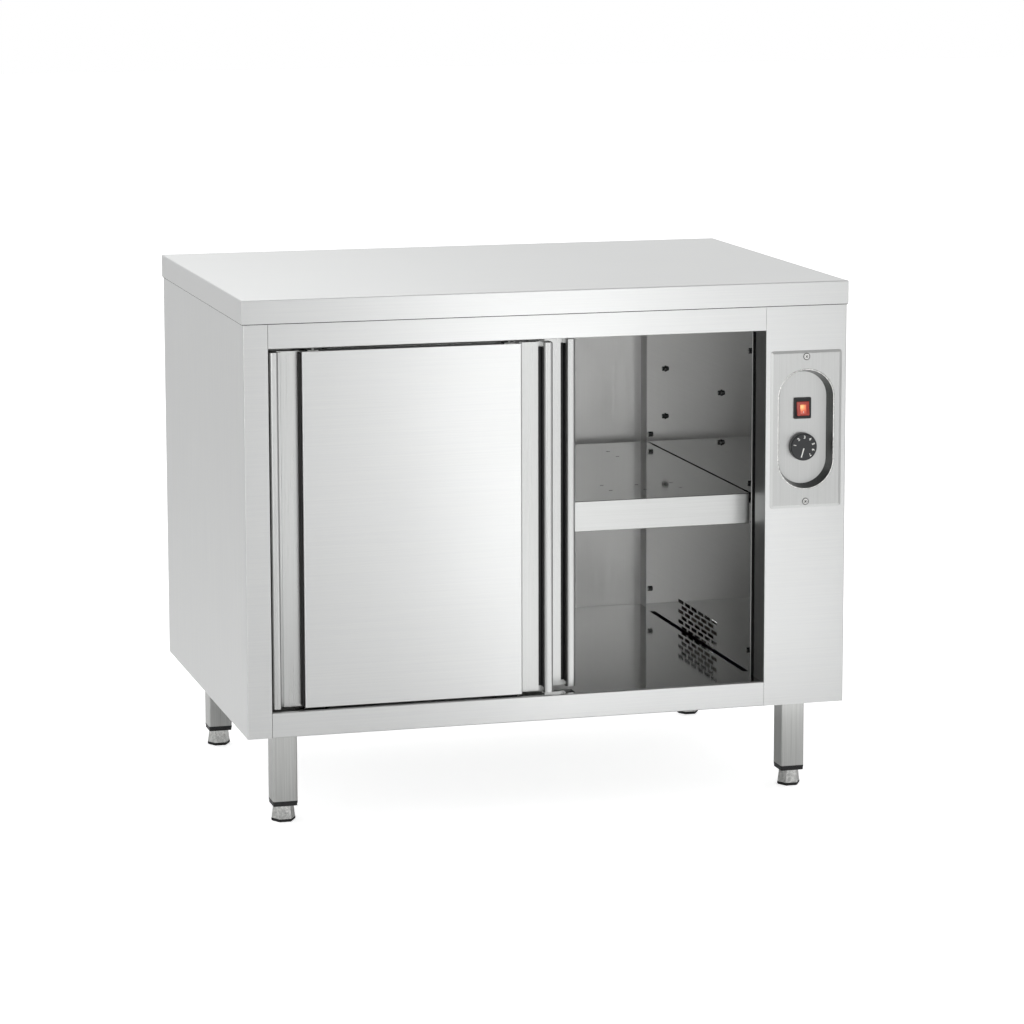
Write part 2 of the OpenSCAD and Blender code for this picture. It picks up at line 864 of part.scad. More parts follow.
// A plate whose front edges are bevelled, with round corners
module bevelled_plate() {
    back = -body_y;
    intersection() {
        translate([plate_x, 0, plate_z - plate_h / 2])
            linear_extrude(plate_h)
                polygon([
                    [-plate_w / 2, back], [plate_w / 2, back],
                    [plate_w / 2, back - 0.3], [plate_w / 2 - plate_bevel, plate_y],
                    [plate_bevel - plate_w / 2, plate_y], [-plate_w / 2, back - 0.3]
                ]);
        along_x(plate_x - plate_w / 2, plate_x + plate_w / 2)
            translate([0, plate_z])
                polygon([
                    [back, -plate_h / 2], [back, plate_h / 2],
                    [back - 0.3, plate_h / 2], [plate_y, plate_h / 2 - plate_bevel],
                    [plate_y, plate_bevel - plate_h / 2], [back - 0.3, -plate_h / 2]
                ]);
        along_y(plate_y - 1, back + 1)
            translate([plate_x, plate_z]) rounded(plate_w, plate_h, plate_r);
    }
}

switch_hw = rocker_w / 2 + clear + switch_wall;
switch_hh = rocker_h / 2 + rocker_gap + switch_wall;

module control_plate() {
    color(steel)
        difference() {
            union() {
                bevelled_plate();
                recess_form(plate_y + plate_t / 2, recess_back, sheet);
            }
            recess_form(plate_y - 1, recess_y, 0);
            for (s = [-1, 1]) {
                bar_y(plate_x, plate_z + s * plate_screw, plate_y - 1, plate_y + 1, 4.7);
                bar_y(plate_x, plate_z + s * plate_screw, plate_y - 1, 1 - body_y, 2);
            }
            block([plate_x - switch_hw - 0.2, recess_y - 1, switch_z - switch_hh - 0.2],
                  [plate_x + switch_hw + 0.2, recess_back + 1, switch_z + switch_hh + 0.2]);
            bar_y(plate_x, knob_z, recess_y - 1, recess_back + 1, bush_r + 0.1);
        }
}

// Raised countersunk screws with a cross slot
module plate_screws() {
    head = plate_y - 0.4;
    color("silver")
        for (s = [-1, 1])
            translate([plate_x, 0, plate_z + s * plate_screw])
                difference() {
                    union() {
                        bar_y(0, 0, head, plate_y + 1, 4.5);
                        bar_y(0, 0, plate_y + 1, sheet + 6 - body_y, 1.9);
                    }
                    for (a = [45, 135])
                        rotate([0, a, 0])
                            block([-2.6, head - 1, -0.5], [2.6, head + 0.8, 0.5]);
                }
}

module switch_housing() {
    half_w = rocker_w / 2 + clear;
    half_h = rocker_h / 2 + rocker_gap;
    front = recess_y - bezel_t;
    color(rubber_black)
        difference() {
            union() {
                along_y(front, recess_y)
                    translate([plate_x, switch_z]) rounded(bezel_w, bezel_h, 2);
                block([plate_x - switch_hw, recess_y - eps, switch_z - switch_hh],
                      [plate_x + switch_hw, switch_back, switch_z + switch_hh]);
                for (i = [-1:1])
                    block([plate_x - 0.4, switch_back - eps, switch_z + i * 8 - 3],
                          [plate_x + 0.4, switch_back + 8, switch_z + i * 8 + 3]);
            }
            block([plate_x - half_w, front - 1, switch_z - half_h],
                  [plate_x + half_w, pivot_y, switch_z + half_h]);
            bar_x(pivot_y, switch_z, plate_x - half_w, plate_x + half_w, half_h, 96);
            bar_x(pivot_y, switch_z, plate_x - half_w - 1, plate_x + half_w + 1, 1.5 + run_fit);
        }
}

// The rocker rests pressed in at the top
module switch_rocker() {
    half = rocker_h / 2 + 1;
    rise = pivot_depth + half * tan(rocker_angle / 2);
    color([0.85, 0.2, 0.12])
        translate([0, pivot_y, switch_z])
            rotate([-rocker_angle / 2, 0, 0]) {
                along_x(plate_x - rocker_w / 2, plate_x + rocker_w / 2)
                    intersection() {
                        circle(rocker_h / 2, $fn = 96);
                        polygon([
                            [6, -half], [-rise, -half], [-pivot_depth, 0], [-rise, half], [6, half]
                        ]);
                    }
                bar_x(0, 0, plate_x - rocker_w / 2 - 1.2, plate_x + rocker_w / 2 + 1.2, 1.5);
            }
}

module thermostat_body() {
    half = 17;
    color([0.75, 0.73, 0.68])
        difference() {
            union() {
                block([plate_x - half, recess_back, knob_z - half],
                      [plate_x + half, thermo_back, knob_z + half]);
                bar_y(plate_x, knob_z, bush_y, recess_back + 1, bush_r);
                bar_y(plate_x, knob_z, recess_y - 2.2, recess_y, bush_r + 2.5, 6);
                for (s = [-1, 1])
                    block([plate_x + s * 10 - 3, thermo_back - eps, knob_z - 10.4],
                          [plate_x + s * 10 + 3, thermo_back + 9, knob_z - 9.6]);
            }
            bar_y(plate_x, knob_z, bush_y - 1, thermo_back - 5, spindle_r + run_fit);
        }
}

module thermostat_spindle() {
    color("silver")
        bar_y(plate_x, knob_z, recess_y - knob_h + 3, thermo_back - 5 - clear, spindle_r);
}

module thermostat_knob() {
    r = knob_dia / 2;
    edge = 2.5;
    foot = 2 * clear;
    color([0.2, 0.2, 0.2])
        translate([plate_x, recess_y, knob_z])
            rotate([90, 0, 0])
                difference() {
                    rotate_extrude($fn = 96) {
                        translate([0, foot]) square([r - edge, knob_h - foot]);
                        translate([0, foot]) square([r, knob_h - edge - foot]);
                        translate([r - edge, knob_h - edge]) circle(edge);
                    }
                    cylinder(r = bush_r + 4, h = recess_y - bush_y + 2 * clear);
                    cylinder(r = spindle_r, h = knob_h - 3);
                }
}

sensor_x = box_x + 4;
sensor_y = [-40, 40];
sensor_z = box_z + heater_box_h + 20;
capillary_y = wall_front + 24;

// The bulb in its clips, and the thin tube that leads to the thermostat
module temperature_sensor() {
    corners = [
        [sensor_x, sensor_y[0], sensor_z], [sensor_x, capillary_y, sensor_z],
        [plate_x, capillary_y, sensor_z], [plate_x, capillary_y, knob_z],
        [plate_x, thermo_back, knob_z]
    ];
    color([0.72, 0.45, 0.3]) {
        bar_y(sensor_x, sensor_z, sensor_y[0], sensor_y[1], 3);
        for (y = [-25, 20])
            block([box_x, y, sensor_z - 5], [sensor_x + 4, y + 6, sensor_z + 5]);
        for (i = [1:3])
            translate(corners[i]) sphere(1, $fn = 24);
        bar_y(sensor_x, sensor_z, capillary_y, sensor_y[0], 1, 24);
        bar_x(capillary_y, sensor_z, sensor_x, plate_x, 1, 24);
        translate(corners[2]) cylinder(r = 1, h = knob_z - sensor_z, $fn = 24);
        bar_y(plate_x, knob_z, thermo_back, capillary_y, 1, 24);
    }
}

// Heater and fan

module heater_box() {
    t = heater_sheet;
    rim = 10;
    color(steel)
        difference() {
            union() {
                block([box_x, box_y0, box_z], [box_far, box_y1, box_z + heater_box_h]);
                block([box_x, box_y0 - rim, box_z - rim],
                      [box_x + t, box_y1 + rim, box_z + heater_box_h + rim]);
            }
            block([box_x - 1, box_y0 + t, box_z + t],
                  [box_far - t, box_y1 - t, box_z + heater_box_h - t]);
            bar_x(grille_y, box_mid_z, box_far - t - 1, box_far + 1, fan_ring_r, 96);
            for (s = [-1, 1])
                bar_y(heater_x, box_mid_z + s * heater_run_gap / 2,
                      box_y1 - t - 1, box_y1 + 1, heater_r + 0.1);
        }
}

// One straight run of the heater, turned as a shaft with its fins
module finned_run(y0, y1) {
    count = floor((y1 - y0 - 16) / heater_fin_pitch);
    fins = [for (i = [0:count], p = [[0, 0], [1, 0], [1, 0.6], [0, 0.6]])
        [heater_r + p.x * (heater_fin_r - heater_r), 8 + i * heater_fin_pitch + p.y]];
    translate([0, y0, 0])
        rotate([-90, 0, 0])
            rotate_extrude()
                polygon(concat([[0, 0], [heater_r, 0]], fins,
                               [[heater_r, y1 - y0], [0, y1 - y0]]));
}

module heater_element() {
    bend_y = box_y0 + heater_run_gap / 2 + 14;
    color([0.45, 0.42, 0.4])
        translate([heater_x, 0, box_mid_z]) {
            for (s = [-1, 1])
                translate([0, 0, s * heater_run_gap / 2]) {
                    finned_run(bend_y, box_y1 - heater_sheet - 2);
                    bar_y(0, 0, box_y1 - heater_sheet - 3, box_y1 + 14, heater_r);
                    bar_y(0, 0, box_y1 + 13, box_y1 + 22, 2);
                }
            translate([0, bend_y, 0])
                rotate(a = 180, v = [1, 0, 1])
                    rotate_extrude(angle = 180)
                        translate([heater_run_gap / 2, 0]) circle(heater_r);
            block([-10, box_y1, -heater_run_gap / 2 - 9], [10, box_y1 + 2, heater_run_gap / 2 + 9]);
        }
}

module fan_frame() {
    half = fan_size / 2;
    color([0.13, 0.13, 0.14])
        translate([box_far, grille_y, box_mid_z]) {
            difference() {
                block([0, -half, -half], [fan_d, half, half]);
                bar_x(0, 0, -1, fan_d + 1, fan_ring_r, 96);
                for (y = [-1, 1], z = [-1, 1])
                    bar_x(y * (half - 5), z * (half - 5), -1, fan_d + 1, 2);
            }
            bar_x(0, 0, fan_d - 10, fan_d, hub_r);
            for (a = [45:90:315])
                rotate([a, 0, 0])
                    block([fan_d - 4, hub_r - 1, -2], [fan_d, fan_ring_r + 1, 2]);
            bar_x(0, 0, 6, fan_d - 9, fan_shaft_r);
        }
}

module fan_impeller() {
    x0 = 5;
    x1 = fan_d - 10 - 0.8;
    tip = fan_ring_r - 1.5;
    color([0.2, 0.2, 0.22])
        translate([box_far + x0, grille_y, box_mid_z])
            rotate([0, 90, 0])
                difference() {
                    union() {
                        cylinder(r = hub_r, h = x1 - x0);
                        for (i = [0:fan_blades - 1])
                            rotate(i * 360 / fan_blades)
                                intersection() {
                                    translate([0, 0, 0.4])
                                        cylinder(r = tip, h = x1 - x0 - 0.8, $fn = 96);
                                    translate([0, 0, (x1 - x0) / 2])
                                        rotate([blade_tilt, 0, 0])
                                            block([hub_r - 2, -20, -0.8], [tip + 2, 20, 0.8]);
                                }
                    }
                    translate([0, 0, -1])
                        cylinder(r = fan_shaft_r + run_fit, h = x1 - x0 + 2);
                }
}

module terminal_block() {
    x = plate_x - 10;
    y = body_y - gland_y + gland_r + 12;
    color([0.9, 0.9, 0.86])
        difference() {
            union() {
                block([x, y, pan_top], [x + 20, y + 50, pan_top + 12]);
                for (i = [0:4])
                    block([x + 3, y + i * 10 + 1, pan_top + 11], [x + 17, y + i * 10 + 9, pan_top + 18]);
            }
            for (i = [0:4], side = [6, 14])
                translate([x + side, y + i * 10 + 5, pan_top + 12])
                    cylinder(r = 2, h = 8);
        }
}

module cable_gland() {
    color(rubber_black)
        translate([plate_x, body_y - gland_y, 0])
            difference() {
                union() {
                    translate([0, 0, pan_z - 6]) cylinder(r = gland_r, h = 6 + sheet + 8);
                    translate([0, 0, pan_z - 5]) cylinder(r = gland_r + 3, h = 5, $fn = 6);
                    translate([0, 0, pan_top]) cylinder(r = gland_r + 3, h = 4, $fn = 6);
                    translate([0, 0, pan_z - 18])
                        cylinder(r1 = gland_r - 1.5, r2 = gland_r + 1, h = 13);
                }
                translate([0, 0, pan_z - 19]) cylinder(r = gland_bore_r, h = 40);
            }
}

// Doors

// The folded back shell of a door seen from above, or its hollow for a thickness t
module door_section(t) {
    hollow = t > 0 ? 1 : 0;
    bead_x = [t, door_w - bead_w + t];
    strip_x = [bead_w + groove_w + t, door_w - bead_w - groove_w - strip_w + t];
    r = bead_r - t;
    translate([t, base_depth + t])
        square([door_w - 2 * t, door_d - base_depth - t + hollow]);
    for (x = strip_x)
        translate([x, strip_step + t])
            square([strip_w - 2 * t, groove_step + 1]);
    for (x = bead_x)
        translate([x, t]) {
            w = bead_w - 2 * t;
            translate([0, r]) square([w, base_depth - r + 1]);
            translate([r, 0]) square([w - 2 * r, r + 1]);
            for (cx = [r, w - r])
                translate([cx, r]) circle(r);
        }
}

module door_frame() {
    difference() {
        linear_extrude(door_h) door_section(0);
        translate([0, 0, -1])
            linear_extrude(door_h + 1 - 1.5) door_section(door_sheet);
        for (x = [bead_w, door_w - bead_w - groove_w])
            block([x + 0.4, base_depth - 1, grip_end],
                  [x + groove_w - 0.4, base_depth + door_sheet + 1, door_h - grip_end]);
    }
}

// The flat box on a door's front, folded from one sheet, with two end caps
module door_panel() {
    t = door_sheet;
    half = t / 2;
    x0 = margin + half;
    x1 = door_w - margin - half;
    linear_extrude(door_h)
        folded([
            [x0 + panel_lip, base_depth - half], [x0, base_depth - half], [x0, half],
            [x1, half], [x1, base_depth - half], [x1 - panel_lip, base_depth - half]
        ], t, panel_r);
    for (z = [0, door_h - t])
        block([x0, half, z], [x1, base_depth, z + t]);
}

module door_back() {
    t = door_sheet;
    block([t, door_d - t, 0], [door_w - t, door_d, door_h - 1.5]);
}

// Two riveted brackets that stand on the door and hold the roller axles
module door_hangers() {
    rise = axle_z - door_top;
    for (x = [hanger_inset, door_w - hanger_inset]) {
        block([x - hanger_w / 2, 3, door_h],
              [x + hanger_w / 2, hanger_leg + hanger_t, door_h + hanger_t]);
        along_y(hanger_leg, hanger_leg + hanger_t)
            translate([x, door_h]) {
                translate([-hanger_w / 2, 0]) square([hanger_w, rise]);
                translate([0, rise]) circle(hanger_w / 2);
            }
        bar_y(x, door_h + rise, lane - roller_w / 2 - clear - 1.5, hanger_leg + hanger_t, axle_r);
        bar_y(x, door_h + rise, lane - roller_w / 2 - clear - 1.5,
              lane - roller_w / 2 - clear, axle_r + 2);
        bar_y(x, door_h + rise, lane + roller_w / 2 + clear, hanger_leg, axle_r + 2);
        translate([x, 9, door_h + hanger_t])
            cylinder(r = 3.6, h = 2.4, $fn = 6);
    }
}

// A grooved roller that straddles the track's lip
module door_roller(x) {
    groove = track_sheet / 2 + clear;
    half = roller_w / 2;
    bore = axle_r + run_fit;
    translate([x, lane, axle_z - door_z])
        rotate([90, 0, 0])
            rotate_extrude($fn = 96)
                polygon([
                    [bore, -half], [roller_r - 0.5, -half], [roller_r, 0.5 - half],
                    [roller_r, -groove - 0.4], [roller_run_r, -groove],
                    [roller_run_r, groove], [roller_r, groove + 0.4],
                    [roller_r, half - 0.5], [roller_r - 0.5, half], [bore, half]
                ]);
}

module at_front_door() {
    translate([front_x, front_y, door_z]) children();
}

module at_rear_door() {
    translate([rear_x, rear_y, door_z]) children();
}

module front_door_frame() { color(steel) at_front_door() door_frame(); }
module front_door_panel() { color(steel) at_front_door() door_panel(); }
module front_door_back() { color(liner_steel) at_front_door() door_back(); }
module front_door_hangers() { color("silver") at_front_door() door_hangers(); }
module front_door_left_roller() {
    color("white") at_front_door() door_roller(hanger_inset);
}
module front_door_right_roller() {
    color("white") at_front_door() door_roller(door_w - hanger_inset);
}
module rear_door_frame() { color(steel) at_rear_door() door_frame(); }
module rear_door_panel() { color(steel) at_rear_door() door_panel(); }
module rear_door_back() { color(liner_steel) at_rear_door() door_back(); }
module rear_door_hangers() { color("silver") at_rear_door() door_hangers(); }
module rear_door_left_roller() {
    color("white") at_rear_door() door_roller(hanger_inset);
}
module rear_door_right_roller() {
    color("white") at_rear_door() door_roller(door_w - hanger_inset);
}

// Shelf

module shelf() {
    half = sheet / 2;
    low = shelf_z - shelf_skirt + half;
    color(liner_steel) {
        along_x(shelf_x0, shelf_x1)
            folded([
                [shelf_y0 + shelf_lip, low], [shelf_y0 + half, low],
                [shelf_y0 + half, shelf_z - half], [shelf_y1 - half, shelf_z - half],
                [shelf_y1 - half, shelf_z - shelf_flange]
            ], sheet, bend_r);
        for (x = [shelf_x0, shelf_x1 - sheet])
            block([x, shelf_y0 + half, shelf_z - shelf_flange],
                  [x + sheet, shelf_y1 - half, shelf_z - half]);
        translate([0, shelf_mid_y, shelf_z - sheet])
            along_x(shelf_x0 + 2 * sheet, shelf_x1 - 2 * sheet)
                hat(stiffener_w, shelf_rib_d, sheet, bend_r);
    }
}

// Legs and feet

module leg(at) {
    color(steel)
        translate([at.x, at.y, 0]) {
            translate([0, 0, tube_z])
                linear_extrude(leg_plate_z - tube_z)
                    difference() {
                        rounded(leg_w, leg_w, leg_r);
                        rounded(leg_w - 2 * leg_wall, leg_w - 2 * leg_wall, leg_r - leg_wall);
                    }
            translate([0, 0, leg_plate_z])
                linear_extrude(leg_plate_t)
                    difference() {
                        rounded(leg_w + 6, leg_plate_l, 5);
                        for (s = [-1, 1])
                            translate([0, s * leg_bolt_at]) circle(3.2);
                    }
        }
}

module leg_front_left() { leg(legs_at[0]); }
module leg_front_right() { leg(legs_at[1]); }
module leg_rear_left() { leg(legs_at[2]); }
module leg_rear_right() { leg(legs_at[3]); }

// The black insert in a tube's end: two steps with a fine groove, and a plug
module leg_insert() {
    step = insert_h * 0.45;
    plug = leg_w - 2 * leg_wall - 0.4;
    difference() {
        union() {
            translate([0, 0, foot_h])
                linear_extrude(step) rounded(leg_w - 1, leg_w - 1, leg_r);
            translate([0, 0, foot_h + step])
                linear_extrude(0.6) rounded(leg_w - 2.5, leg_w - 2.5, leg_r);
            translate([0, 0, foot_h + step + 0.6])
                linear_extrude(insert_h - step - 0.6) rounded(leg_w, leg_w, leg_r);
            translate([0, 0, tube_z])
                linear_extrude(insert_plug) rounded(plug, plug, leg_r - leg_wall);
        }
        translate([0, 0, foot_h - 1])
            cylinder(r = stem_r + run_fit, h = insert_h + insert_plug + 2);
    }
}

module leg_inserts() {
    color(rubber_black)
        for (at = legs_at)
            translate([at.x, at.y, 0]) leg_insert();
}

module leg_bolts() {
    color("silver")
        for (at = legs_at, s = [-1, 1])
            translate([at.x, at.y + s * leg_bolt_at, 0]) {
                translate([0, 0, leg_plate_z - 8])
                    cylinder(r = 2.9, h = pan_top - leg_plate_z + 9);
                translate([0, 0, pan_top]) cylinder(r = 5.8, h = 4, $fn = 6);
                translate([0, 0, leg_plate_z - 5]) cylinder(r = 5.8, h = 5, $fn = 6);
            }
}

// The steel sleeve of a foot is a tapered hexagon on a threaded stem
module foot(at) {
    corner = 1 / cos(30);
    color("silver")
        translate([at.x, at.y, 0]) {
            translate([0, 0, foot_ring_h])
                cylinder(r1 = corner * foot_low_w / 2, r2 = corner * foot_top_w / 2,
                         h = foot_h - clear - foot_ring_h, $fn = 6);
            translate([0, 0, foot_ring_h])
                cylinder(r = stem_r, h = tube_z + insert_plug + 4 - foot_ring_h);
        }
}

module foot_pad(at) {
    corner = 1 / cos(30);
    r = corner * foot_low_w / 2 + 0.4;
    chamfer = 1.8;
    color(rubber_black)
        translate([at.x, at.y, 0]) {
            cylinder(r1 = r - chamfer, r2 = r, h = chamfer, $fn = 6);
            translate([0, 0, chamfer]) cylinder(r = r, h = foot_ring_h - chamfer, $fn = 6);
        }
}

module foot_front_left() { foot(legs_at[0]); }
module foot_front_right() { foot(legs_at[1]); }
module foot_rear_left() { foot(legs_at[2]); }
module foot_rear_right() { foot(legs_at[3]); }
module pad_front_left() { foot_pad(legs_at[0]); }
module pad_front_right() { foot_pad(legs_at[1]); }
module pad_rear_left() { foot_pad(legs_at[2]); }
module pad_rear_right() { foot_pad(legs_at[3]); }

worktop();
worktop_stiffeners();
left_side_panel();
right_side_panel();
back_panel();
back_screws();
top_rail();
bottom_rail();
base_pan();
cavity_floor();
inner_left_wall();
partition_wall();
inner_back_wall();
cavity_ceiling();
liner_bolts();
shelf_studs();
door_track();
track_stops();
floor_guide();
control_plate();
plate_screws();
switch_housing();
switch_rocker();
thermostat_body();
thermostat_spindle();
thermostat_knob();
temperature_sensor();
heater_box();
heater_element();
fan_frame();
fan_impeller();
terminal_block();
cable_gland();
front_door_frame();
front_door_panel();
front_door_back();
front_door_hangers();
front_door_left_roller();
front_door_right_roller();
rear_door_frame();
rear_door_panel();
rear_door_back();
rear_door_hangers();
rear_door_left_roller();
rear_door_right_roller();
shelf();
leg_front_left();
leg_front_right();
leg_rear_left();
leg_rear_right();
leg_inserts();
leg_bolts();
foot_front_left();
foot_front_right();
foot_rear_left();
foot_rear_right();
pad_front_left();
pad_front_right();
pad_rear_left();
pad_rear_right();
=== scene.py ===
"""Looks of the plate warmer cabinet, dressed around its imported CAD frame.

The CAD nodes carry every shape of the cabinet. This script gives each of them its
finish, models the printed marks, the lamp lens and the other small pieces that are
drawn rather than folded, and sets up the studio that the cabinet stands in.
"""

from __future__ import annotations

import json
import logging
import math
from dataclasses import dataclass
from enum import Enum
from typing import Any, Callable, Iterable, Optional, Sequence

import bpy
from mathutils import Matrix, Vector

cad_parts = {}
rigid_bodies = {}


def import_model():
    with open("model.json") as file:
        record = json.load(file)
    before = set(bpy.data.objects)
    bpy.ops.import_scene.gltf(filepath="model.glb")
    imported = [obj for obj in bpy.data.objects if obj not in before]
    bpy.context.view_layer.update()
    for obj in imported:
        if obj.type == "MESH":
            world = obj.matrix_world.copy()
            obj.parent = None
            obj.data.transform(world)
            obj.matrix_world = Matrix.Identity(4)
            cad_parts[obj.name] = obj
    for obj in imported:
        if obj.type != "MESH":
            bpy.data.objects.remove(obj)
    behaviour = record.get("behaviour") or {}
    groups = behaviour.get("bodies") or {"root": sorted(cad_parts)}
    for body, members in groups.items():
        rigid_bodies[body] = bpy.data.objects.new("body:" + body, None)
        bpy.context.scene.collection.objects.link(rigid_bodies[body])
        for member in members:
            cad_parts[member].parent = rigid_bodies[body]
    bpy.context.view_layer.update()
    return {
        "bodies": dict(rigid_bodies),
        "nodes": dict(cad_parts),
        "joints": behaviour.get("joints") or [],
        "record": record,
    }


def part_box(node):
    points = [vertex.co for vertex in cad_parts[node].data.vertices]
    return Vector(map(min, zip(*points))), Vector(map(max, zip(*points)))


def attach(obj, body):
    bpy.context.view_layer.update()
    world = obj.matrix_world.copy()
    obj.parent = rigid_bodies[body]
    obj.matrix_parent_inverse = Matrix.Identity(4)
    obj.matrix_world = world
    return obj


LOG = logging.getLogger("plate_warmer")
MM = 0.001
FACING_COSINE = 0.8
SMOOTH_BELOW_DEG = 35.0
Pair = tuple[float, float]
Triple = tuple[float, float, float]
Node = bpy.types.Node
Tree = bpy.types.NodeTree
Socket = bpy.types.NodeSocket
Material = bpy.types.Material
MeshObject = bpy.types.Object
Polygon = bpy.types.MeshPolygon


# Shader helpers


def linear(code: str) -> tuple[float, float, float, float]:
    """Turn an sRGB hex value into the linear colour that shaders take.

    Args:
        code: Six hex digits after a number sign.

    Returns:
        Red, green, blue and an alpha of one.
    """
    parts = [int(code[i : i + 2], 16) / 255 for i in (1, 3, 5)]
    red, green, blue = (
        p / 12.92 if p <= 0.04045 else ((p + 0.055) / 1.055) ** 2.4 for p in parts
    )
    return red, green, blue, 1.0


def add_node(
    tree: Tree,
    kind: str,
    settings: Optional[dict[Any, Any]] = None,
    links: Optional[dict[Any, Socket]] = None,
) -> Node:
    """Add one shader node with its settings and the links into it.

    Args:
        tree: The node tree that gets the node.
        kind: The node's type name.
        settings: Values by socket name, socket number or property name.
        links: Output sockets by the name or number of the input they feed.

    Returns:
        The new node.
    """
    node = tree.nodes.new(kind)
    for key, value in (settings or {}).items():
        if isinstance(key, int) or key in node.inputs:
            node.inputs[key].default_value = value
        else:
            setattr(node, key, value)
    for key, source in (links or {}).items():
        tree.links.new(source, node.inputs[key])
    return node


def set_stops(node: Node, stops: Sequence[tuple[float, str]]) -> None:
    """Give a colour ramp its stops.

    Args:
        node: The colour ramp node.
        stops: Pairs of place and sRGB hex value, in rising order.
    """
    elements = node.color_ramp.elements
    while len(elements) < len(stops):
        elements.new(1.0)
    for element, (place, code) in zip(elements, stops):
        element.position = place
        element.color = linear(code)


def new_material(name: str) -> tuple[Material, Tree, Node]:
    """Start a node material that holds only a principled shader.

    Args:
        name: The finish's name.

    Returns:
        The material, its node tree and its shader.
    """
    material = bpy.data.materials.new(name)
    material.use_nodes = True
    tree = material.node_tree
    shader = next(n for n in tree.nodes if n.type == "BSDF_PRINCIPLED")
    return material, tree, shader


# Finishes


class Grain(Enum):
    """The direction of the brushing or rolling marks on a sheet."""

    ALONG_X = 0
    ALONG_Y = 1
    ALONG_Z = 2


@dataclass(frozen=True)
class BrushedSteel:
    """Stainless steel sheet, ground with fine belts along one direction.

    The belt leaves long straight scratches, which the eye reads as a soft sheen with
    faint streaks along the grain. Real scratches are some 0.05 mm apart, too fine to
    show, so they are drawn about as coarse as a pixel of the photograph's view.
    """

    name: str
    bright: str
    dull: str
    grain: Grain
    roughness: float = 0.3
    scratch_mm: float = 1.6
    scratch_length_mm: float = 160.0
    relief: float = 0.05
    spread: float = 0.85
    cloud_mm: float = 200.0
    scratch_depth: float = 0.0002
    wear: float = 0.04

    def lay_grain(self, tree: Tree, shader: Node) -> None:
        """Stretch the sheen across the scratches, as a ground surface does.

        A small fixed vector keeps the tangent from being zero where a face looks
        along its own grain.

        Args:
            tree: The material's node tree.
            shader: Its principled shader.
        """
        along = [0.0, 0.0, 0.0]
        along[self.grain.value] = 1.0
        surface = add_node(tree, "ShaderNodeNewGeometry")
        across = add_node(
            tree,
            "ShaderNodeVectorMath",
            {"operation": "CROSS_PRODUCT", 1: along},
            {0: surface.outputs["Normal"]},
        )
        safe = add_node(
            tree,
            "ShaderNodeVectorMath",
            {"operation": "ADD", 1: (0.002, 0.001, 0.003)},
            {0: across.outputs["Vector"]},
        )
        shader.inputs["Anisotropic"].default_value = self.spread
        shader.inputs["Metallic"].default_value = 1.0
        tree.links.new(safe.outputs["Vector"], shader.inputs["Tangent"])

    def build(self) -> Material:
        """Build the finish.

        Returns:
            The finished material.
        """
        material, tree, shader = new_material(self.name)
        self.lay_grain(tree, shader)
        place = add_node(tree, "ShaderNodeTexCoord")
        across = 1 / (self.scratch_mm * MM)
        scale = [across, across, across]
        scale[self.grain.value] = 1 / (self.scratch_length_mm * MM)
        stretch = add_node(
            tree,
            "ShaderNodeMapping",
            {"Scale": scale},
            {"Vector": place.outputs["Object"]},
        )
        scratches = add_node(
            tree,
            "ShaderNodeTexNoise",
            {"Scale": 1.0, "Detail": 3.0, "Roughness": 0.6},
            {"Vector": stretch.outputs["Vector"]},
        )
        tint = add_node(
            tree, "ShaderNodeValToRGB", links={"Fac": scratches.outputs["Fac"]}
        )
        set_stops(tint, [(0.3, self.dull), (0.7, self.bright)])
        clouds = add_node(
            tree,
            "ShaderNodeTexNoise",
            {"Scale": 1 / (self.cloud_mm * MM), "Detail": 2.0},
            {"Vector": place.outputs["Object"]},
        )
        blend = add_node(
            tree,
            "ShaderNodeMath",
            {"operation": "MULTIPLY_ADD", 1: 0.35},
            {0: clouds.outputs["Fac"], 2: scratches.outputs["Fac"]},
        )
        rough = add_node(
            tree,
            "ShaderNodeMapRange",
            {
                "From Min": 0.35,
                "From Max": 1.0,
                "To Min": self.roughness - self.wear,
                "To Max": self.roughness + self.wear,
            },
            {"Value": blend.outputs["Value"]},
        )
        bump = add_node(
            tree,
            "ShaderNodeBump",
            {"Strength": self.relief, "Distance": self.scratch_depth},
            {"Height": scratches.outputs["Fac"]},
        )
        tree.links.new(tint.outputs["Color"], shader.inputs["Base Color"])
        tree.links.new(rough.outputs["Result"], shader.inputs["Roughness"])
        tree.links.new(bump.outputs["Normal"], shader.inputs["Normal"])
        return material


@dataclass(frozen=True)
class PlatedMetal:
    """Turned or pressed metal with a thin bright plating and handling marks."""

    name: str
    bright: str
    dull: str
    roughness: float = 0.22
    stains_per_metre: float = 220.0

    def build(self) -> Material:
        """Build the finish.

        Returns:
            The finished material.
        """
        material, tree, shader = new_material(self.name)
        place = add_node(tree, "ShaderNodeTexCoord")
        stains = add_node(
            tree,
            "ShaderNodeTexNoise",
            {"Scale": self.stains_per_metre, "Detail": 4.0, "Roughness": 0.65},
            {"Vector": place.outputs["Object"]},
        )
        tint = add_node(
            tree, "ShaderNodeValToRGB", links={"Fac": stains.outputs["Fac"]}
        )
        set_stops(tint, [(0.35, self.dull), (0.62, self.bright)])
        rough = add_node(
            tree,
            "ShaderNodeMapRange",
            {"To Min": self.roughness - 0.08, "To Max": self.roughness + 0.12},
            {"Value": stains.outputs["Fac"]},
        )
        shader.inputs["Metallic"].default_value = 1.0
        tree.links.new(tint.outputs["Color"], shader.inputs["Base Color"])
        tree.links.new(rough.outputs["Result"], shader.inputs["Roughness"])
        return material


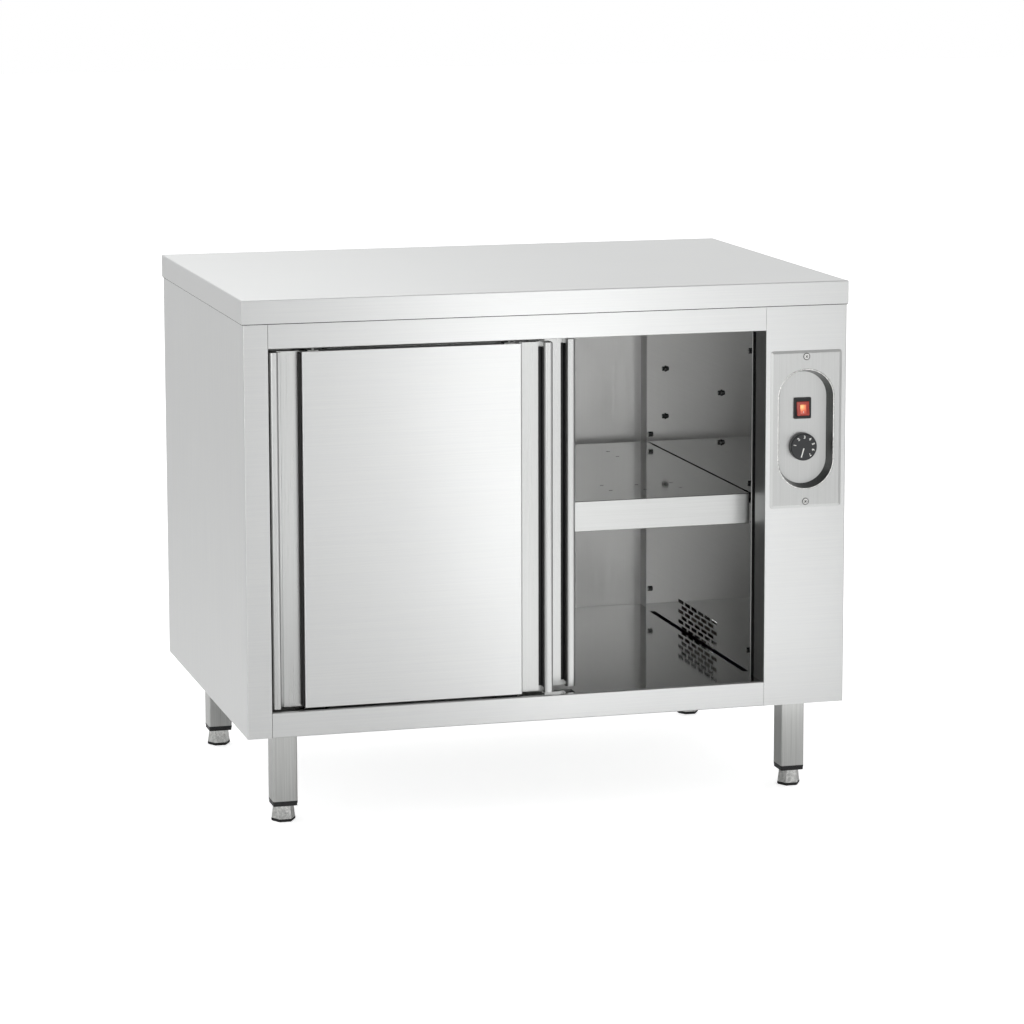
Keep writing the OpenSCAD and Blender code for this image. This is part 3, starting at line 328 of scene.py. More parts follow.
@dataclass(frozen=True)
class MouldedPlastic:
    """Injection moulded plastic with the fine spark-eroded texture of its mould."""

    name: str
    colour: str
    shade: str
    roughness: float = 0.45
    grit_mm: float = 0.6
    relief: float = 0.12
    grit_depth: float = 0.0001

    def build(self) -> Material:
        """Build the finish.

        Returns:
            The finished material.
        """
        material, tree, shader = new_material(self.name)
        place = add_node(tree, "ShaderNodeTexCoord")
        grit = add_node(
            tree,
            "ShaderNodeTexNoise",
            {"Scale": 1 / (self.grit_mm * MM), "Detail": 2.0},
            {"Vector": place.outputs["Object"]},
        )
        tint = add_node(tree, "ShaderNodeValToRGB", links={"Fac": grit.outputs["Fac"]})
        set_stops(tint, [(0.3, self.shade), (0.7, self.colour)])
        rough = add_node(
            tree,
            "ShaderNodeMapRange",
            {"To Min": self.roughness - 0.06, "To Max": self.roughness + 0.06},
            {"Value": grit.outputs["Fac"]},
        )
        bump = add_node(
            tree,
            "ShaderNodeBump",
            {"Strength": self.relief, "Distance": self.grit_depth},
            {"Height": grit.outputs["Fac"]},
        )
        shader.inputs["IOR"].default_value = 1.5
        tree.links.new(tint.outputs["Color"], shader.inputs["Base Color"])
        tree.links.new(rough.outputs["Result"], shader.inputs["Roughness"])
        tree.links.new(bump.outputs["Normal"], shader.inputs["Normal"])
        return material


@dataclass(frozen=True)
class LitLens:
    """Clear red polycarbonate lit by a small neon lamp behind its upper part.

    The lamp's light is hottest right in front of it, and falls from pale yellow through
    orange to the deep red of the plastic.
    """

    name: str
    lamp: Triple
    reach_mm: float = 9.0

    def build(self) -> Material:
        """Build the finish.

        Returns:
            The finished material.
        """
        material, tree, shader = new_material(self.name)
        place = add_node(tree, "ShaderNodeTexCoord")
        away = add_node(
            tree,
            "ShaderNodeVectorMath",
            {"operation": "DISTANCE", 1: self.lamp},
            {0: place.outputs["Object"]},
        )
        near = add_node(
            tree,
            "ShaderNodeMapRange",
            {"From Min": 0.0, "From Max": self.reach_mm * MM},
            {"Value": away.outputs["Value"]},
        )
        glow = add_node(tree, "ShaderNodeValToRGB", links={"Fac": near.outputs[0]})
        set_stops(
            glow,
            [
                (0.0, "#fff3d0"),
                (0.22, "#ffe08c"),
                (0.42, "#f0a262"),
                (0.62, "#e0785a"),
                (0.85, "#c9604f"),
                (1.0, "#b4503f"),
            ],
        )
        body = add_node(tree, "ShaderNodeValToRGB", links={"Fac": near.outputs[0]})
        set_stops(body, [(0.0, "#e0a070"), (0.6, "#b8503c"), (1.0, "#8c3428")])
        shader.inputs["Roughness"].default_value = 0.22
        shader.inputs["IOR"].default_value = 1.58
        shader.inputs["Emission Strength"].default_value = 0.6
        tree.links.new(body.outputs["Color"], shader.inputs["Base Color"])
        tree.links.new(glow.outputs["Color"], shader.inputs["Emission Color"])
        return material


@dataclass(frozen=True)
class PrintedInk:
    """Screen-printed white enamel ink, slightly uneven where it covers the grain."""

    name: str
    colour: str
    shade: str
    cover_mm: float = 0.625

    def build(self) -> Material:
        """Build the finish.

        Returns:
            The finished material.
        """
        material, tree, shader = new_material(self.name)
        place = add_node(tree, "ShaderNodeTexCoord")
        cover = add_node(
            tree,
            "ShaderNodeTexNoise",
            {"Scale": 1 / (self.cover_mm * MM), "Detail": 2.0},
            {"Vector": place.outputs["Object"]},
        )
        tint = add_node(tree, "ShaderNodeValToRGB", links={"Fac": cover.outputs["Fac"]})
        set_stops(tint, [(0.3, self.shade), (0.6, self.colour)])
        shader.inputs["Roughness"].default_value = 0.5
        tree.links.new(tint.outputs["Color"], shader.inputs["Base Color"])
        return material


# Mesh helpers


def clear_selection() -> None:
    """Leave object mode with nothing selected and nothing active."""
    if bpy.context.object and bpy.context.object.mode != "OBJECT":
        bpy.ops.object.mode_set(mode="OBJECT")
    bpy.ops.object.select_all(action="DESELECT")
    bpy.context.view_layer.objects.active = None


def pick(piece: MeshObject) -> None:
    """Make a piece the only selected object and the active one.

    Args:
        piece: The object that the next operators act on.
    """
    clear_selection()
    piece.select_set(True)
    bpy.context.view_layer.objects.active = piece


def settle(piece: MeshObject) -> None:
    """Move a piece's place, turn and size into its mesh.

    Args:
        piece: The finished object.
    """
    pick(piece)
    bpy.ops.object.transform_apply(location=True, rotation=True, scale=True)


def finish_piece(piece: MeshObject, name: str, material: Material, body: str) -> None:
    """Name a new piece, give it its finish and let it ride on a body.

    Args:
        piece: The new piece.
        name: Its name in the table of pieces.
        material: Its finish.
        body: The CAD body that carries it.
    """
    piece.name = name
    piece.data.name = name
    piece.data.materials.clear()
    piece.data.materials.append(material)
    settle(piece)
    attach(piece, body)
    LOG.info("piece %s rides on %s", name, body)


def dress(frame: dict[str, Any], names: Iterable[str], material: Material) -> None:
    """Give CAD nodes a finish.

    Args:
        names: The nodes that get it.
        material: The finish.
    """
    for name in names:
        mesh = frame["nodes"][name].data
        mesh.materials.clear()
        mesh.materials.append(material)
        LOG.info("node %s gets %s", name, material.name)


def dress_where(
    frame: dict[str, Any],
    name: str,
    material: Material,
    chosen: Callable[[Polygon], bool],
) -> None:
    """Give a second finish to some faces of a CAD node.

    Args:
        name: The node.
        material: The finish of those faces.
        chosen: Tells whether a face gets it.
    """
    mesh = frame["nodes"][name].data
    if material.name not in mesh.materials:
        mesh.materials.append(material)
    number = mesh.materials.find(material.name)
    for polygon in mesh.polygons:
        if chosen(polygon):
            polygon.material_index = number


def facing(x: float, y: float, z: float) -> Callable[[Polygon], bool]:
    """Make a test for faces that look one way.

    Args:
        x: The direction's part to the right.
        y: Its part to the back.
        z: Its part upwards.

    Returns:
        A test that takes a face and tells whether it looks that way.
    """
    way = Vector((x, y, z))
    return lambda polygon: polygon.normal.dot(way) > FACING_COSINE


def join(parts: Sequence[MeshObject]) -> MeshObject:
    """Join several objects into one.

    Args:
        parts: The objects, which end up in the first.

    Returns:
        The first object.
    """
    pick(parts[0])
    for part in parts[1:]:
        part.select_set(True)
    bpy.ops.object.join()
    return parts[0]


def extruded(
    outline: Sequence[Sequence[float]], lift: Triple, round_mm: float
) -> MeshObject:
    """Extrude a flat outline into a bar with soft edges.

    Args:
        outline: The corners in metres, in order round the outline.
        lift: How far and which way the outline is extruded.
        round_mm: The radius of the edges in millimetres.

    Returns:
        The new object.
    """
    clear_selection()
    bpy.ops.mesh.primitive_circle_add(vertices=len(outline), fill_type="NGON")
    bar = bpy.context.object
    for vertex, corner in zip(bar.data.vertices, outline):
        vertex.co = corner
    bpy.ops.object.mode_set(mode="EDIT")
    bpy.ops.mesh.select_all(action="SELECT")
    bpy.ops.mesh.extrude_region_move(TRANSFORM_OT_translate={"value": lift})
    bpy.ops.mesh.select_all(action="SELECT")
    bpy.ops.mesh.normals_make_consistent(inside=False)
    bpy.ops.object.mode_set(mode="OBJECT")
    soften(bar, round_mm)
    return bar


def profile_along_z(
    outline: Sequence[Pair], low: float, high: float, round_mm: float
) -> MeshObject:
    """Extrude an outline seen from above into an upright strip.

    Args:
        outline: Corners in metres, in order.
        low: The strip's foot.
        high: The strip's top.
        round_mm: The radius of its edges in millimetres.

    Returns:
        The new object.
    """
    return extruded([(x, y, low) for x, y in outline], (0, 0, high - low), round_mm)


def printed(
    body: str, size: float, depth: float, bold: float, place: Vector, turn: Triple
) -> MeshObject:
    """Print a short text as a thin closed mesh.

    Args:
        body: The text.
        size: Its letter size.
        depth: Half its thickness.
        bold: How far its outline is widened.
        place: Where its middle lies.
        turn: Its rotation in radians.

    Returns:
        The mesh object, with its place and turn not yet applied.
    """
    clear_selection()
    bpy.ops.object.text_add(location=place)
    text = bpy.context.object
    text.data.body = body
    text.data.size = size
    text.data.align_x = "CENTER"
    text.data.align_y = "CENTER"
    text.data.extrude = depth
    text.data.offset = bold
    text.rotation_euler = turn
    pick(text)
    bpy.ops.object.convert(target="MESH")
    bpy.ops.object.mode_set(mode="EDIT")
    bpy.ops.mesh.select_all(action="SELECT")
    bpy.ops.mesh.remove_doubles(threshold=1e-6)
    bpy.ops.mesh.normals_make_consistent(inside=False)
    bpy.ops.object.mode_set(mode="OBJECT")
    return text


def depth_at(piece: MeshObject, x: float, z: float) -> float:
    """Measure how far back a piece's front surface lies at one point.

    Args:
        piece: The object that is looked at from the front.
        x: The point's place from left to right.
        z: The point's height.

    Returns:
        The depth in metres.
    """
    hit, place, _, _ = piece.ray_cast(Vector((x, -1.0, z)), Vector((0, 1, 0)))
    if not hit:
        raise ValueError(f"{piece.name} has no surface at {x:.4f}, {z:.4f}")
    return place.y


def soften(piece: MeshObject, round_mm: float, segments: int = 3) -> None:
    """Round the sharp edges of a piece.

    Args:
        piece: The object.
        round_mm: The radius in millimetres.
        segments: How many steps the rounding takes.
    """
    bevel = piece.modifiers.new("soft_edges", "BEVEL")
    bevel.width = round_mm * MM
    bevel.segments = segments
    bevel.limit_method = "ANGLE"
    pick(piece)
    bpy.ops.object.modifier_apply(modifier="soft_edges")
    bpy.ops.object.shade_smooth_by_angle(angle=math.radians(SMOOTH_BELOW_DEG))


# The cabinet's finishes


@dataclass(frozen=True)
class FinishSet:
    """Every finish on the cabinet, built once and shared by its sub-assemblies."""

    sheet_x: Material
    sheet_y: Material
    sheet_z: Material
    leg: Material
    liner_x: Material
    liner_z: Material
    liner_side: Material
    liner_back: Material
    door_frame: Material
    track: Material
    hanger: Material
    stud_face: Material
    weld: Material
    drawn: Material
    jamb: Material
    skirt: Material
    shelf_top: Material
    side: Material
    plate: Material
    plated: Material
    stud: Material
    black: Material
    knob: Material
    nylon: Material
    lens: Material
    red: Material
    ink: Material
    rubber: Material
    bakelite: Material
    ceramic: Material
    copper: Material
    heated: Material


def build_finishes() -> FinishSet:
    """Build the cabinet's finishes.

    Returns:
        The set that the sub-assemblies take theirs from.
    """
    # Outer sheets: ground stainless steel, with a wide soft sheen across the grain.
    # Liner: bright rolled stainless steel, nearly a mirror.
    outer = {"bright": "#dbdcdb", "dull": "#d6d7d7", "roughness": 0.36, "relief": 0.03}
    inner = {"roughness": 0.07, "relief": 0.01, "spread": 0.3}
    along_x, along_y, along_z = Grain.ALONG_X, Grain.ALONG_Y, Grain.ALONG_Z
    return FinishSet(
        sheet_x=BrushedSteel("ground_steel_x", grain=along_x, **outer).build(),
        sheet_y=BrushedSteel("ground_steel_y", grain=along_y, **outer).build(),
        sheet_z=BrushedSteel("ground_steel_z", grain=along_z, **outer).build(),
        # Welded tube, ground coarser than sheet, so its streaks show more.
        leg=BrushedSteel(
            "leg_tube_steel", "#d0d1cf", "#babbb9", along_z, relief=0.08
        ).build(),
        # Folded profiles with a closer sheen, which draws their beads.
        door_frame=BrushedSteel(
            "door_profile_steel", "#c0c1c0", "#b8b9b8", along_z, 0.29, spread=0.35
        ).build(),
        liner_x=BrushedSteel(
            "mirror_liner_x", "#e6e7e6", "#e0e1e0", along_x, **inner
        ).build(),
        liner_z=BrushedSteel(
            "mirror_liner_z", "#e6e7e6", "#e0e1e0", along_z, **inner
        ).build(),
        liner_side=BrushedSteel(
            "bright_liner_y", "#f3f3f2", "#eeeeed", along_y, **inner
        ).build(),
        # A satin sheet that spreads the light from the opening evenly.
        liner_back=BrushedSteel(
            "satin_liner_back", "#dddddc", "#d9d9d8", along_z, 0.5, spread=0.4
        ).build(),
        # The recess walls: steel with the recess's shade painted into its colour, so
        # the recess reads dark.
        drawn=BrushedSteel(
            "recess_steel_painted_shade", "#6f706f", "#5a5b5a", along_z, 0.22, spread=0.3
        ).build(),
        # Returns beside the door opening: steel painted a shade darker, as painted
        # shade of the opening.
        jamb=BrushedSteel(
            "return_steel_painted_shade", "#a7a8a7", "#9fa09f", along_z, 0.42, spread=0.3
        ).build(),
        # The shelf: a ground front edge, and a mirror-like top in a darker copy of the
        # liner steel, as painted shade.
        skirt=BrushedSteel(
            "shelf_edge_steel", "#cdcecd", "#c5c6c5", along_x, 0.38
        ).build(),
        shelf_top=BrushedSteel(
            "mirror_shelf_x_painted_shade", "#c4c5c4", "#bebfbe", along_x, **inner
        ).build(),
        # The left side is ground upright; its outer face is painted a shade lighter, as
        # painted light.
        side=BrushedSteel(
            "ground_side_steel_painted_light", "#e4e5e4", "#dcdddd", along_z, 0.36
        ).build(),
        # Running gear: dark zinc and plain steel in the shade over the doors.
        track=BrushedSteel(
            "track_steel", "#7b7c7b", "#6c6d6c", along_x, 0.35, spread=0.4
        ).build(),
        hanger=PlatedMetal("dull_zinc", "#8d8e8c", "#6a6b69", 0.35).build(),
        # The ends of the studs and bolts, painted bright as a painted highlight.
        stud_face=PlatedMetal("stud_end_painted_highlight", "#c9cac8", "#9fa09e", 0.25).build(),
        # The brown-grey burn that a spot weld leaves. The same colour paints the shade
        # in the plate screws' cross recesses.
        weld=PlatedMetal("weld_burn_and_painted_shade", "#5b5a58", "#3c3b3a", 0.45).build(),
        plate=BrushedSteel(
            "satin_control_plate", "#c4c5c4", "#bdbebd", along_z, 0.34
        ).build(),
        plated=PlatedMetal("nickel_plate", "#d6d6d4", "#a9aaa8").build(),
        stud=PlatedMetal("black_zinc", "#3b3c3c", "#232424", 0.35).build(),
        # Moulded parts: matt black nylon, and a smoother charcoal knob. The black also
        # paints the shade in the doors' right grooves.
        black=MouldedPlastic("black_polyamide_and_painted_shade", "#1d1e1f", "#141516").build(),
        knob=MouldedPlastic("charcoal_phenolic", "#292b2d", "#1f2123", 0.38).build(),
        nylon=MouldedPlastic("natural_nylon", "#e6e2d6", "#dad6c8").build(),
        lens=LitLens("lit_polycarbonate", (0.4275, -0.336, 0.6435), 12.0).build(),
        red=MouldedPlastic("red_polycarbonate", "#b8483d", "#a63f35", 0.25).build(),
        ink=PrintedInk("white_enamel_ink", "#f2f2ee", "#dcdcd8").build(),
        # Black rubber for the pads and stops; the same black paints the shade under the
        # worktop and beside the door panels.
        rubber=MouldedPlastic("black_rubber", "#1b1b1b", "#121212", 0.7).build(),
        bakelite=MouldedPlastic("brown_phenolic", "#5a4436", "#4a382c", 0.4).build(),
        ceramic=MouldedPlastic("steatite", "#e9e4d8", "#ddd7c9", 0.35).build(),
        copper=PlatedMetal("drawn_copper", "#c98760", "#9c6243", 0.3).build(),
        heated=PlatedMetal("heat_tinted_steel", "#7a6f66", "#55504c", 0.4).build(),
    )


# Sub-assemblies


@dataclass
class Shell:
    """The worktop, the side panels, the rails, the back and the base."""

    along_x: tuple[str, ...] = ("worktop", "top_rail", "bottom_rail", "back_panel")
    along_y: tuple[str, ...] = ("base_pan",)
    along_z: tuple[str, ...] = ("left_side_panel", "right_side_panel")
    seal_reach: Triple = (0.4984, 0.3484, 0.0008)
    seal_levels: Pair = (0.8108, 0.8124)
    seal_round_mm: float = 0.2

    def dress(self, frame: dict[str, Any], finishes: FinishSet) -> None:
        """Give the outer sheets their grain.

        Args:
            finishes: The cabinet's finishes.
        """
        dress(frame, self.along_x + ("worktop_stiffeners",), finishes.sheet_x)
        dress(frame, self.along_y, finishes.sheet_y)
        dress(frame, self.along_z, finishes.sheet_z)
        for name in self.along_z:
            dress_where(frame, name, finishes.sheet_x, facing(0, -1, 0))
        # The left side's outer face takes the steel with the painted light.
        dress_where(frame, "left_side_panel", finishes.side, facing(-1, 0, 0))
        # The returns beside the door opening take the steel with the painted shade.
        dress_where(frame, "left_side_panel", finishes.jamb, facing(1, 0, 0))
        dress_where(frame, "right_side_panel", finishes.jamb, facing(-1, 0, 0))
        dress(frame, ("back_screws",), finishes.plated)

    def build_seal(self, finishes: FinishSet) -> None:
        """Lay a dark strip under the worktop's skirt: painted shade of the joint there.

        Args:
            finishes: The cabinet's finishes.
        """
        width, depth, half = self.seal_reach
        low, high = self.seal_levels
        bars = []
        for x, y in ((0, -depth), (0, depth), (-width, 0), (width, 0)):
            reach_x, reach_y = (width, half) if y else (half, depth)
            outline = [
                (x - reach_x, y - reach_y, low),
                (x - reach_x, y + reach_y, low),
                (x - reach_x, y + reach_y, high),
                (x - reach_x, y - reach_y, high),
            ]
            bars.append(extruded(outline, (2 * reach_x, 0, 0), self.seal_round_mm))
        finish_piece(join(bars), "worktop_shadow_line", finishes.rubber, "cabinet")


@dataclass
class Liner:
    """The sheets of the warm space, their bolts and studs, and the shelf."""

    walls: tuple[str, ...] = ("inner_left_wall", "partition_wall")
    shelf_top: float = 0.4946
    shelf_middle: float = -0.049
    weld_ring: Pair = (0.0021, 0.0007)
    weld_scale: Triple = (1.25, 1.0, 0.25)
    mark_places: tuple[Pair, ...] = (
        (0.147, -0.134),
        (0.147, -0.186),
        (0.205, -0.142),
        (0.205, -0.192),
        (0.266, -0.14),
        (0.266, -0.191),
        (0.26, 0.205),
        (0.26, 0.148),
    )

    def dress(self, frame: dict[str, Any], finishes: FinishSet) -> None:
        """Give the liner its bright rolled sheets.

        Args:
            finishes: The cabinet's finishes.
        """
        dress(frame, ("cavity_ceiling",), finishes.liner_x)
        # The cavity floor and the shelf take the darker copy of the liner steel:
        # painted shade.
        dress(frame, ("cavity_floor",), finishes.shelf_top)
        dress(frame, self.walls, finishes.liner_side)
        # The partition's front edge takes the dark track steel: painted shade of the
        # gap beside the door opening.
        dress_where(frame, "partition_wall", finishes.track, facing(0, -1, 0))
        dress(frame, ("inner_back_wall",), finishes.liner_back)
        dress(frame, ("shelf",), finishes.shelf_top)
        dress_where(frame, "shelf", finishes.skirt, facing(0, -1, 0))
        for name in ("liner_bolts", "shelf_studs"):
            dress(frame, (name,), finishes.stud)
            # The ends of the bolts and studs take the painted highlight.
            for side in (-1.0, 1.0):
                dress_where(frame, name, finishes.stud_face, facing(side, 0, 0))

    def build_marks(self, finishes: FinishSet) -> None:
        """Burn the spot welds of the stiffening channels into the shelf's top.

        Args:
            finishes: The cabinet's finishes.
        """
        made = []
        for x, y in self.mark_places:
            for place in (x, 2 * self.shelf_middle - x):
                clear_selection()
                bpy.ops.mesh.primitive_torus_add(
                    major_segments=20,
                    minor_segments=6,
                    major_radius=self.weld_ring[0],
                    minor_radius=self.weld_ring[1],
                    location=(place, y, self.shelf_top),
                )
                ring = bpy.context.object
                ring.scale = self.weld_scale
                settle(ring)
                made.append(ring)
        finish_piece(join(made), "shelf_spot_welds", finishes.weld, "shelf")


@dataclass
class SlidingDoors:
    """Both doors, the twin track that they hang from, and the guide on the floor.

    The sizes are those of the door profile in the CAD: its bead, the groove beside it,
    the flat strip, the gap next to the panel, and how deep strip and grooves lie.
    """

    sides: tuple[str, ...] = ("front_door", "rear_door")
    bead: float = 0.015
    groove: float = 0.006
    strip: float = 0.027
    gap: float = 0.004
    strip_depth: float = 0.015
    floor_depth: float = 0.019
    ends: Triple = (0.008, 0.0015, 0.002)
    fit: float = 0.0002
    grip_wall: float = 0.0007
    grip_lip: float = 0.0042
    seal_lip: float = 0.0032
    seal_slope: Pair = (0.0014, 0.0013)
    rounds_mm: Triple = (0.25, 0.15, 0.5)

    def build_inserts(self, finishes: FinishSet) -> None:
        """Fit the black strips that paint the shade in the right grooves, the steel
        fillers, and the black strips that paint the shade beside the panels.

        Args:
            finishes: The cabinet's finishes.
        """
        for side in self.sides:
            low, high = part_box(f"{side}_frame")
            left, right, front = low[0], high[0], low[1]
            floor = front + self.floor_depth - self.fit
            inserts = (
                ("groove_shade_strip", self.grip_outline(right, front, floor)),
                ("filler", self.filler_outline(left, front, floor)),
                ("panel_gap_shade_strip", self.seal_outline(left, front, floor)),
            )
            # The groove strip and the strip beside the panel are painted shade; the
            # filler is steel.
            looks = (finishes.black, finishes.door_frame, finishes.rubber)
            for (name, outline), finish, end, round_mm in zip(
                inserts, looks, self.ends, self.rounds_mm
            ):
                strip = profile_along_z(outline, low[2] + end, high[2] - end, round_mm)
                finish_piece(strip, f"{side}_{name}", finish, side)

    def grip_outline(self, right: float, front: float, floor: float) -> list[Pair]:
        """Draw the outline of the black strip that paints the shade in the right
        groove, seen from above.

        Args:
            right: The door's right edge.
            front: Its front.
            floor: The bottom of its groove.

        Returns:
            The outline's corners, in order.
        """
        wall = right - self.bead - self.fit
        near = wall - self.groove + 2 * self.fit
        return [
            (near, floor - self.grip_wall),
            (wall - self.grip_wall, floor - self.grip_wall),
            (wall - self.grip_wall, front + self.grip_lip),
            (wall, front + self.grip_lip),
            (wall, floor),
            (near, floor),
        ]

    def filler_outline(self, left: float, front: float, floor: float) -> list[Pair]:
        """Draw the strip that fills the left groove, seen from above.

        Args:
            left: The door's left edge.
            front: Its front.
            floor: The bottom of its groove.

        Returns:
            The outline's corners, in order.
        """
        start = left + self.bead + self.fit
        stop = start + self.groove - 2 * self.fit
        top = front + self.strip_depth
        return [
            (start, top + 2 * self.fit),
            (stop, top + self.fit),
            (stop, floor),
            (start, floor),
        ]

    def seal_outline(self, left: float, front: float, floor: float) -> list[Pair]:
        """Draw the black strip that paints the shade in the gap beside the panel, seen
        from above.

        Args:
            left: The door's left edge.
            front: Its front.
            floor: The bottom of its groove.

        Returns:
            The outline's corners, in order.
        """
        edge = left + self.bead + self.groove + self.strip + 1.5 * self.fit
        stop = edge + self.gap - 3 * self.fit
        lip = front + self.seal_lip
        return [
            (edge, lip + self.seal_slope[1]),
            (edge + self.seal_slope[0], lip),
            (stop, lip),
            (stop, floor),
            (edge, floor),
        ]

    def dress(self, frame: dict[str, Any], finishes: FinishSet) -> None:
        """Give the doors and their running gear their finishes.

        Args:
            finishes: The cabinet's finishes.
        """
        for side in self.sides:
            dress(frame, (f"{side}_frame",), finishes.door_frame)
            dress(frame, (f"{side}_panel", f"{side}_back"), finishes.sheet_x)
            dress(frame, (f"{side}_hangers",), finishes.hanger)
            rollers = (f"{side}_left_roller", f"{side}_right_roller")
            dress(frame, rollers, finishes.nylon)
        dress(frame, ("door_track",), finishes.track)
        dress(frame, ("track_stops",), finishes.rubber)
        dress(frame, ("floor_guide",), finishes.black)


@dataclass
class Controls:
    """The recessed plate with the lit switch and the thermostat knob."""

    knob_x: float = 0.429
    knob_z: float = 0.578
    knob_face: float = -0.3415
    mark_radius_mm: float = 16.2
    mark_size_mm: float = 6.4
    mark_depth_mm: float = 0.15
    mark_bold: float = 0.0002
    mark_angles: tuple[float, ...] = (283.0, 324.0, 2.0, 38.0, 73.0, 107.0, 141.0)
    pointer_angle: float = 196.0
    pointer_from_mm: float = 2.0
    pointer_to_mm: float = 17.5
    pointer_width_mm: float = 1.9
    screw_places: tuple[Pair, ...] = ((0.429, 0.49), (0.429, 0.728))
    slot_turns: tuple[float, ...] = (45.0, 135.0)
    slot_size: Triple = (0.005, 0.0004, 0.00094)
    washer_ring: Pair = (0.0053, 0.0007)
    washer_scale: Triple = (1.0, 1.0, 0.38)
    behind_screws: float = 0.0004
    recess_centre: Pair = (0.429, 0.609)
    recess_round: float = 0.047
    recess_half_straight: float = 0.0505
    rim_gap: float = 0.0006
    rim_radius: float = 0.0012
    rim_flatness: float = 0.4
    rim_depth: float = 0.0005
    screw_face: float = -0.3499
    recess_wall_from: float = 0.0014
    recess_wall_tilt: float = 0.7
    cover_box: tuple[Pair, Pair] = ((0.4188, 0.6286), (0.4402, 0.6518))
    window_box: tuple[Pair, Pair] = ((0.4245, 0.6316), (0.4348, 0.6468))
    switch_mark: Triple = (0.4297, 0.6346, 0.0042)
    switch_ink: Pair = (0.00008, 0.00012)

    def dress(self, frame: dict[str, Any], finishes: FinishSet) -> None:
        """Give the CAD nodes of the controls their finishes.

        Args:
            finishes: The cabinet's finishes.
        """
        dress(frame, ("control_plate",), finishes.plate)
        # The recess's wall faces take the steel with the painted shade.
        dress_where(frame, "control_plate", finishes.drawn, self.in_recess_wall)
        dress(frame, ("plate_screws", "thermostat_spindle"), finishes.plated)
        dress(frame, ("switch_housing", "switch_rocker"), finishes.black)
        dress(frame, ("thermostat_knob",), finishes.knob)
        dress(frame, ("thermostat_body",), finishes.bakelite)

    def at_angle(self, angle: float, radius_mm: float) -> Vector:
        """Find a point on the knob's face.

        Args:
            angle: Degrees clockwise from the top, as seen from the front.
            radius_mm: The distance from the knob's axis.

        Returns:
            The point.
        """
        turn = math.radians(angle)
        x = self.knob_x + radius_mm * MM * math.sin(turn)
        z = self.knob_z + radius_mm * MM * math.cos(turn)
        return Vector((x, self.knob_face, z))

    def in_recess_wall(self, polygon: Polygon) -> bool:
        """Tell whether a face of the plate belongs to the recess's drawn wall."""
        behind = polygon.center.y > self.screw_face + self.recess_wall_from
        return behind and abs(polygon.normal.y) < self.recess_wall_tilt

    def cover(
        self,
        rocker: MeshObject,
        low: Pair,
        high: Pair,
        proud_mm: float,
        round_mm: float,
    ) -> MeshObject:
        """Mould a cover that follows the folded face of the rocker.

        Args:
            rocker: The piece that it lies on.
            low: Its left side and its foot.
            high: Its right side and its top.
            proud_mm: How far it stands out from the face.
            round_mm: The radius of its edges.

        Returns:
            The cover.
        """
        middle = low[0] + (high[0] - low[0]) / 2
        steps = 9
        levels = [low[1] + (high[1] - low[1]) * i / steps for i in range(steps + 1)]
        face = [
            (low[0], depth_at(rocker, middle, z) - proud_mm * MM, z) for z in levels
        ]
        back = max(y for _, y, _ in face) + 2 * proud_mm * MM
        outline = face + [(low[0], back, high[1]), (low[0], back, low[1])]
        return extruded(outline, (high[0] - low[0], 0, 0), round_mm)

    def build_lens(self, frame: dict[str, Any], finishes: FinishSet) -> None:
        """Mould the rocker's red cover, its lit window and the mark on it.

        Args:
            finishes: The cabinet's finishes.
        """
        rocker = frame["nodes"]["switch_rocker"]
        red = self.cover(rocker, *self.cover_box, proud_mm=1.5, round_mm=1.1)
        window = self.cover(red, *self.window_box, proud_mm=0.5, round_mm=0.4)
        x, z, size = self.switch_mark
        upright = (math.pi / 2, 0, 0)
        mark = printed("I", size, *self.switch_ink, Vector((x, 0, z)), upright)
        settle(mark)
        for vertex in mark.data.vertices:
            vertex.co.y += depth_at(window, vertex.co.x, vertex.co.z)
        finish_piece(red, "rocker_cover", finishes.red, "rocker")
        finish_piece(window, "rocker_window", finishes.lens, "rocker")
        finish_piece(mark, "rocker_mark", finishes.ink, "rocker")

    def build_screw_slots(self, finishes: FinishSet) -> None:
        """Sink a dark cross, the painted shade of the cross recess, into each plate
        screw and lay a washer round its head.

        Args:
            finishes: The cabinet's finishes.
        """
        bars, rings = [], []
        depth = self.screw_face + self.behind_screws
        for x, z in self.screw_places:
            for turn in self.slot_turns:
                clear_selection()
                bpy.ops.mesh.primitive_cube_add(size=1, location=(x, depth, z))
                bar = bpy.context.object
                bar.scale = self.slot_size
                bar.rotation_euler = (0, math.radians(turn), 0)
                settle(bar)
                soften(bar, 0.15, 2)
                bars.append(bar)
            clear_selection()
            bpy.ops.mesh.primitive_torus_add(
                major_segments=48,
                minor_segments=10,
                major_radius=self.washer_ring[0],
                minor_radius=self.washer_ring[1],
                location=(x, depth, z),
                rotation=(math.pi / 2, 0, 0),
            )
            ring = bpy.context.object
            ring.scale = self.washer_scale
            settle(ring)
            rings.append(ring)
        finish_piece(join(bars), "plate_screw_slot_shade", finishes.weld, "cabinet")
        finish_piece(join(rings), "plate_screw_washers", finishes.track, "cabinet")

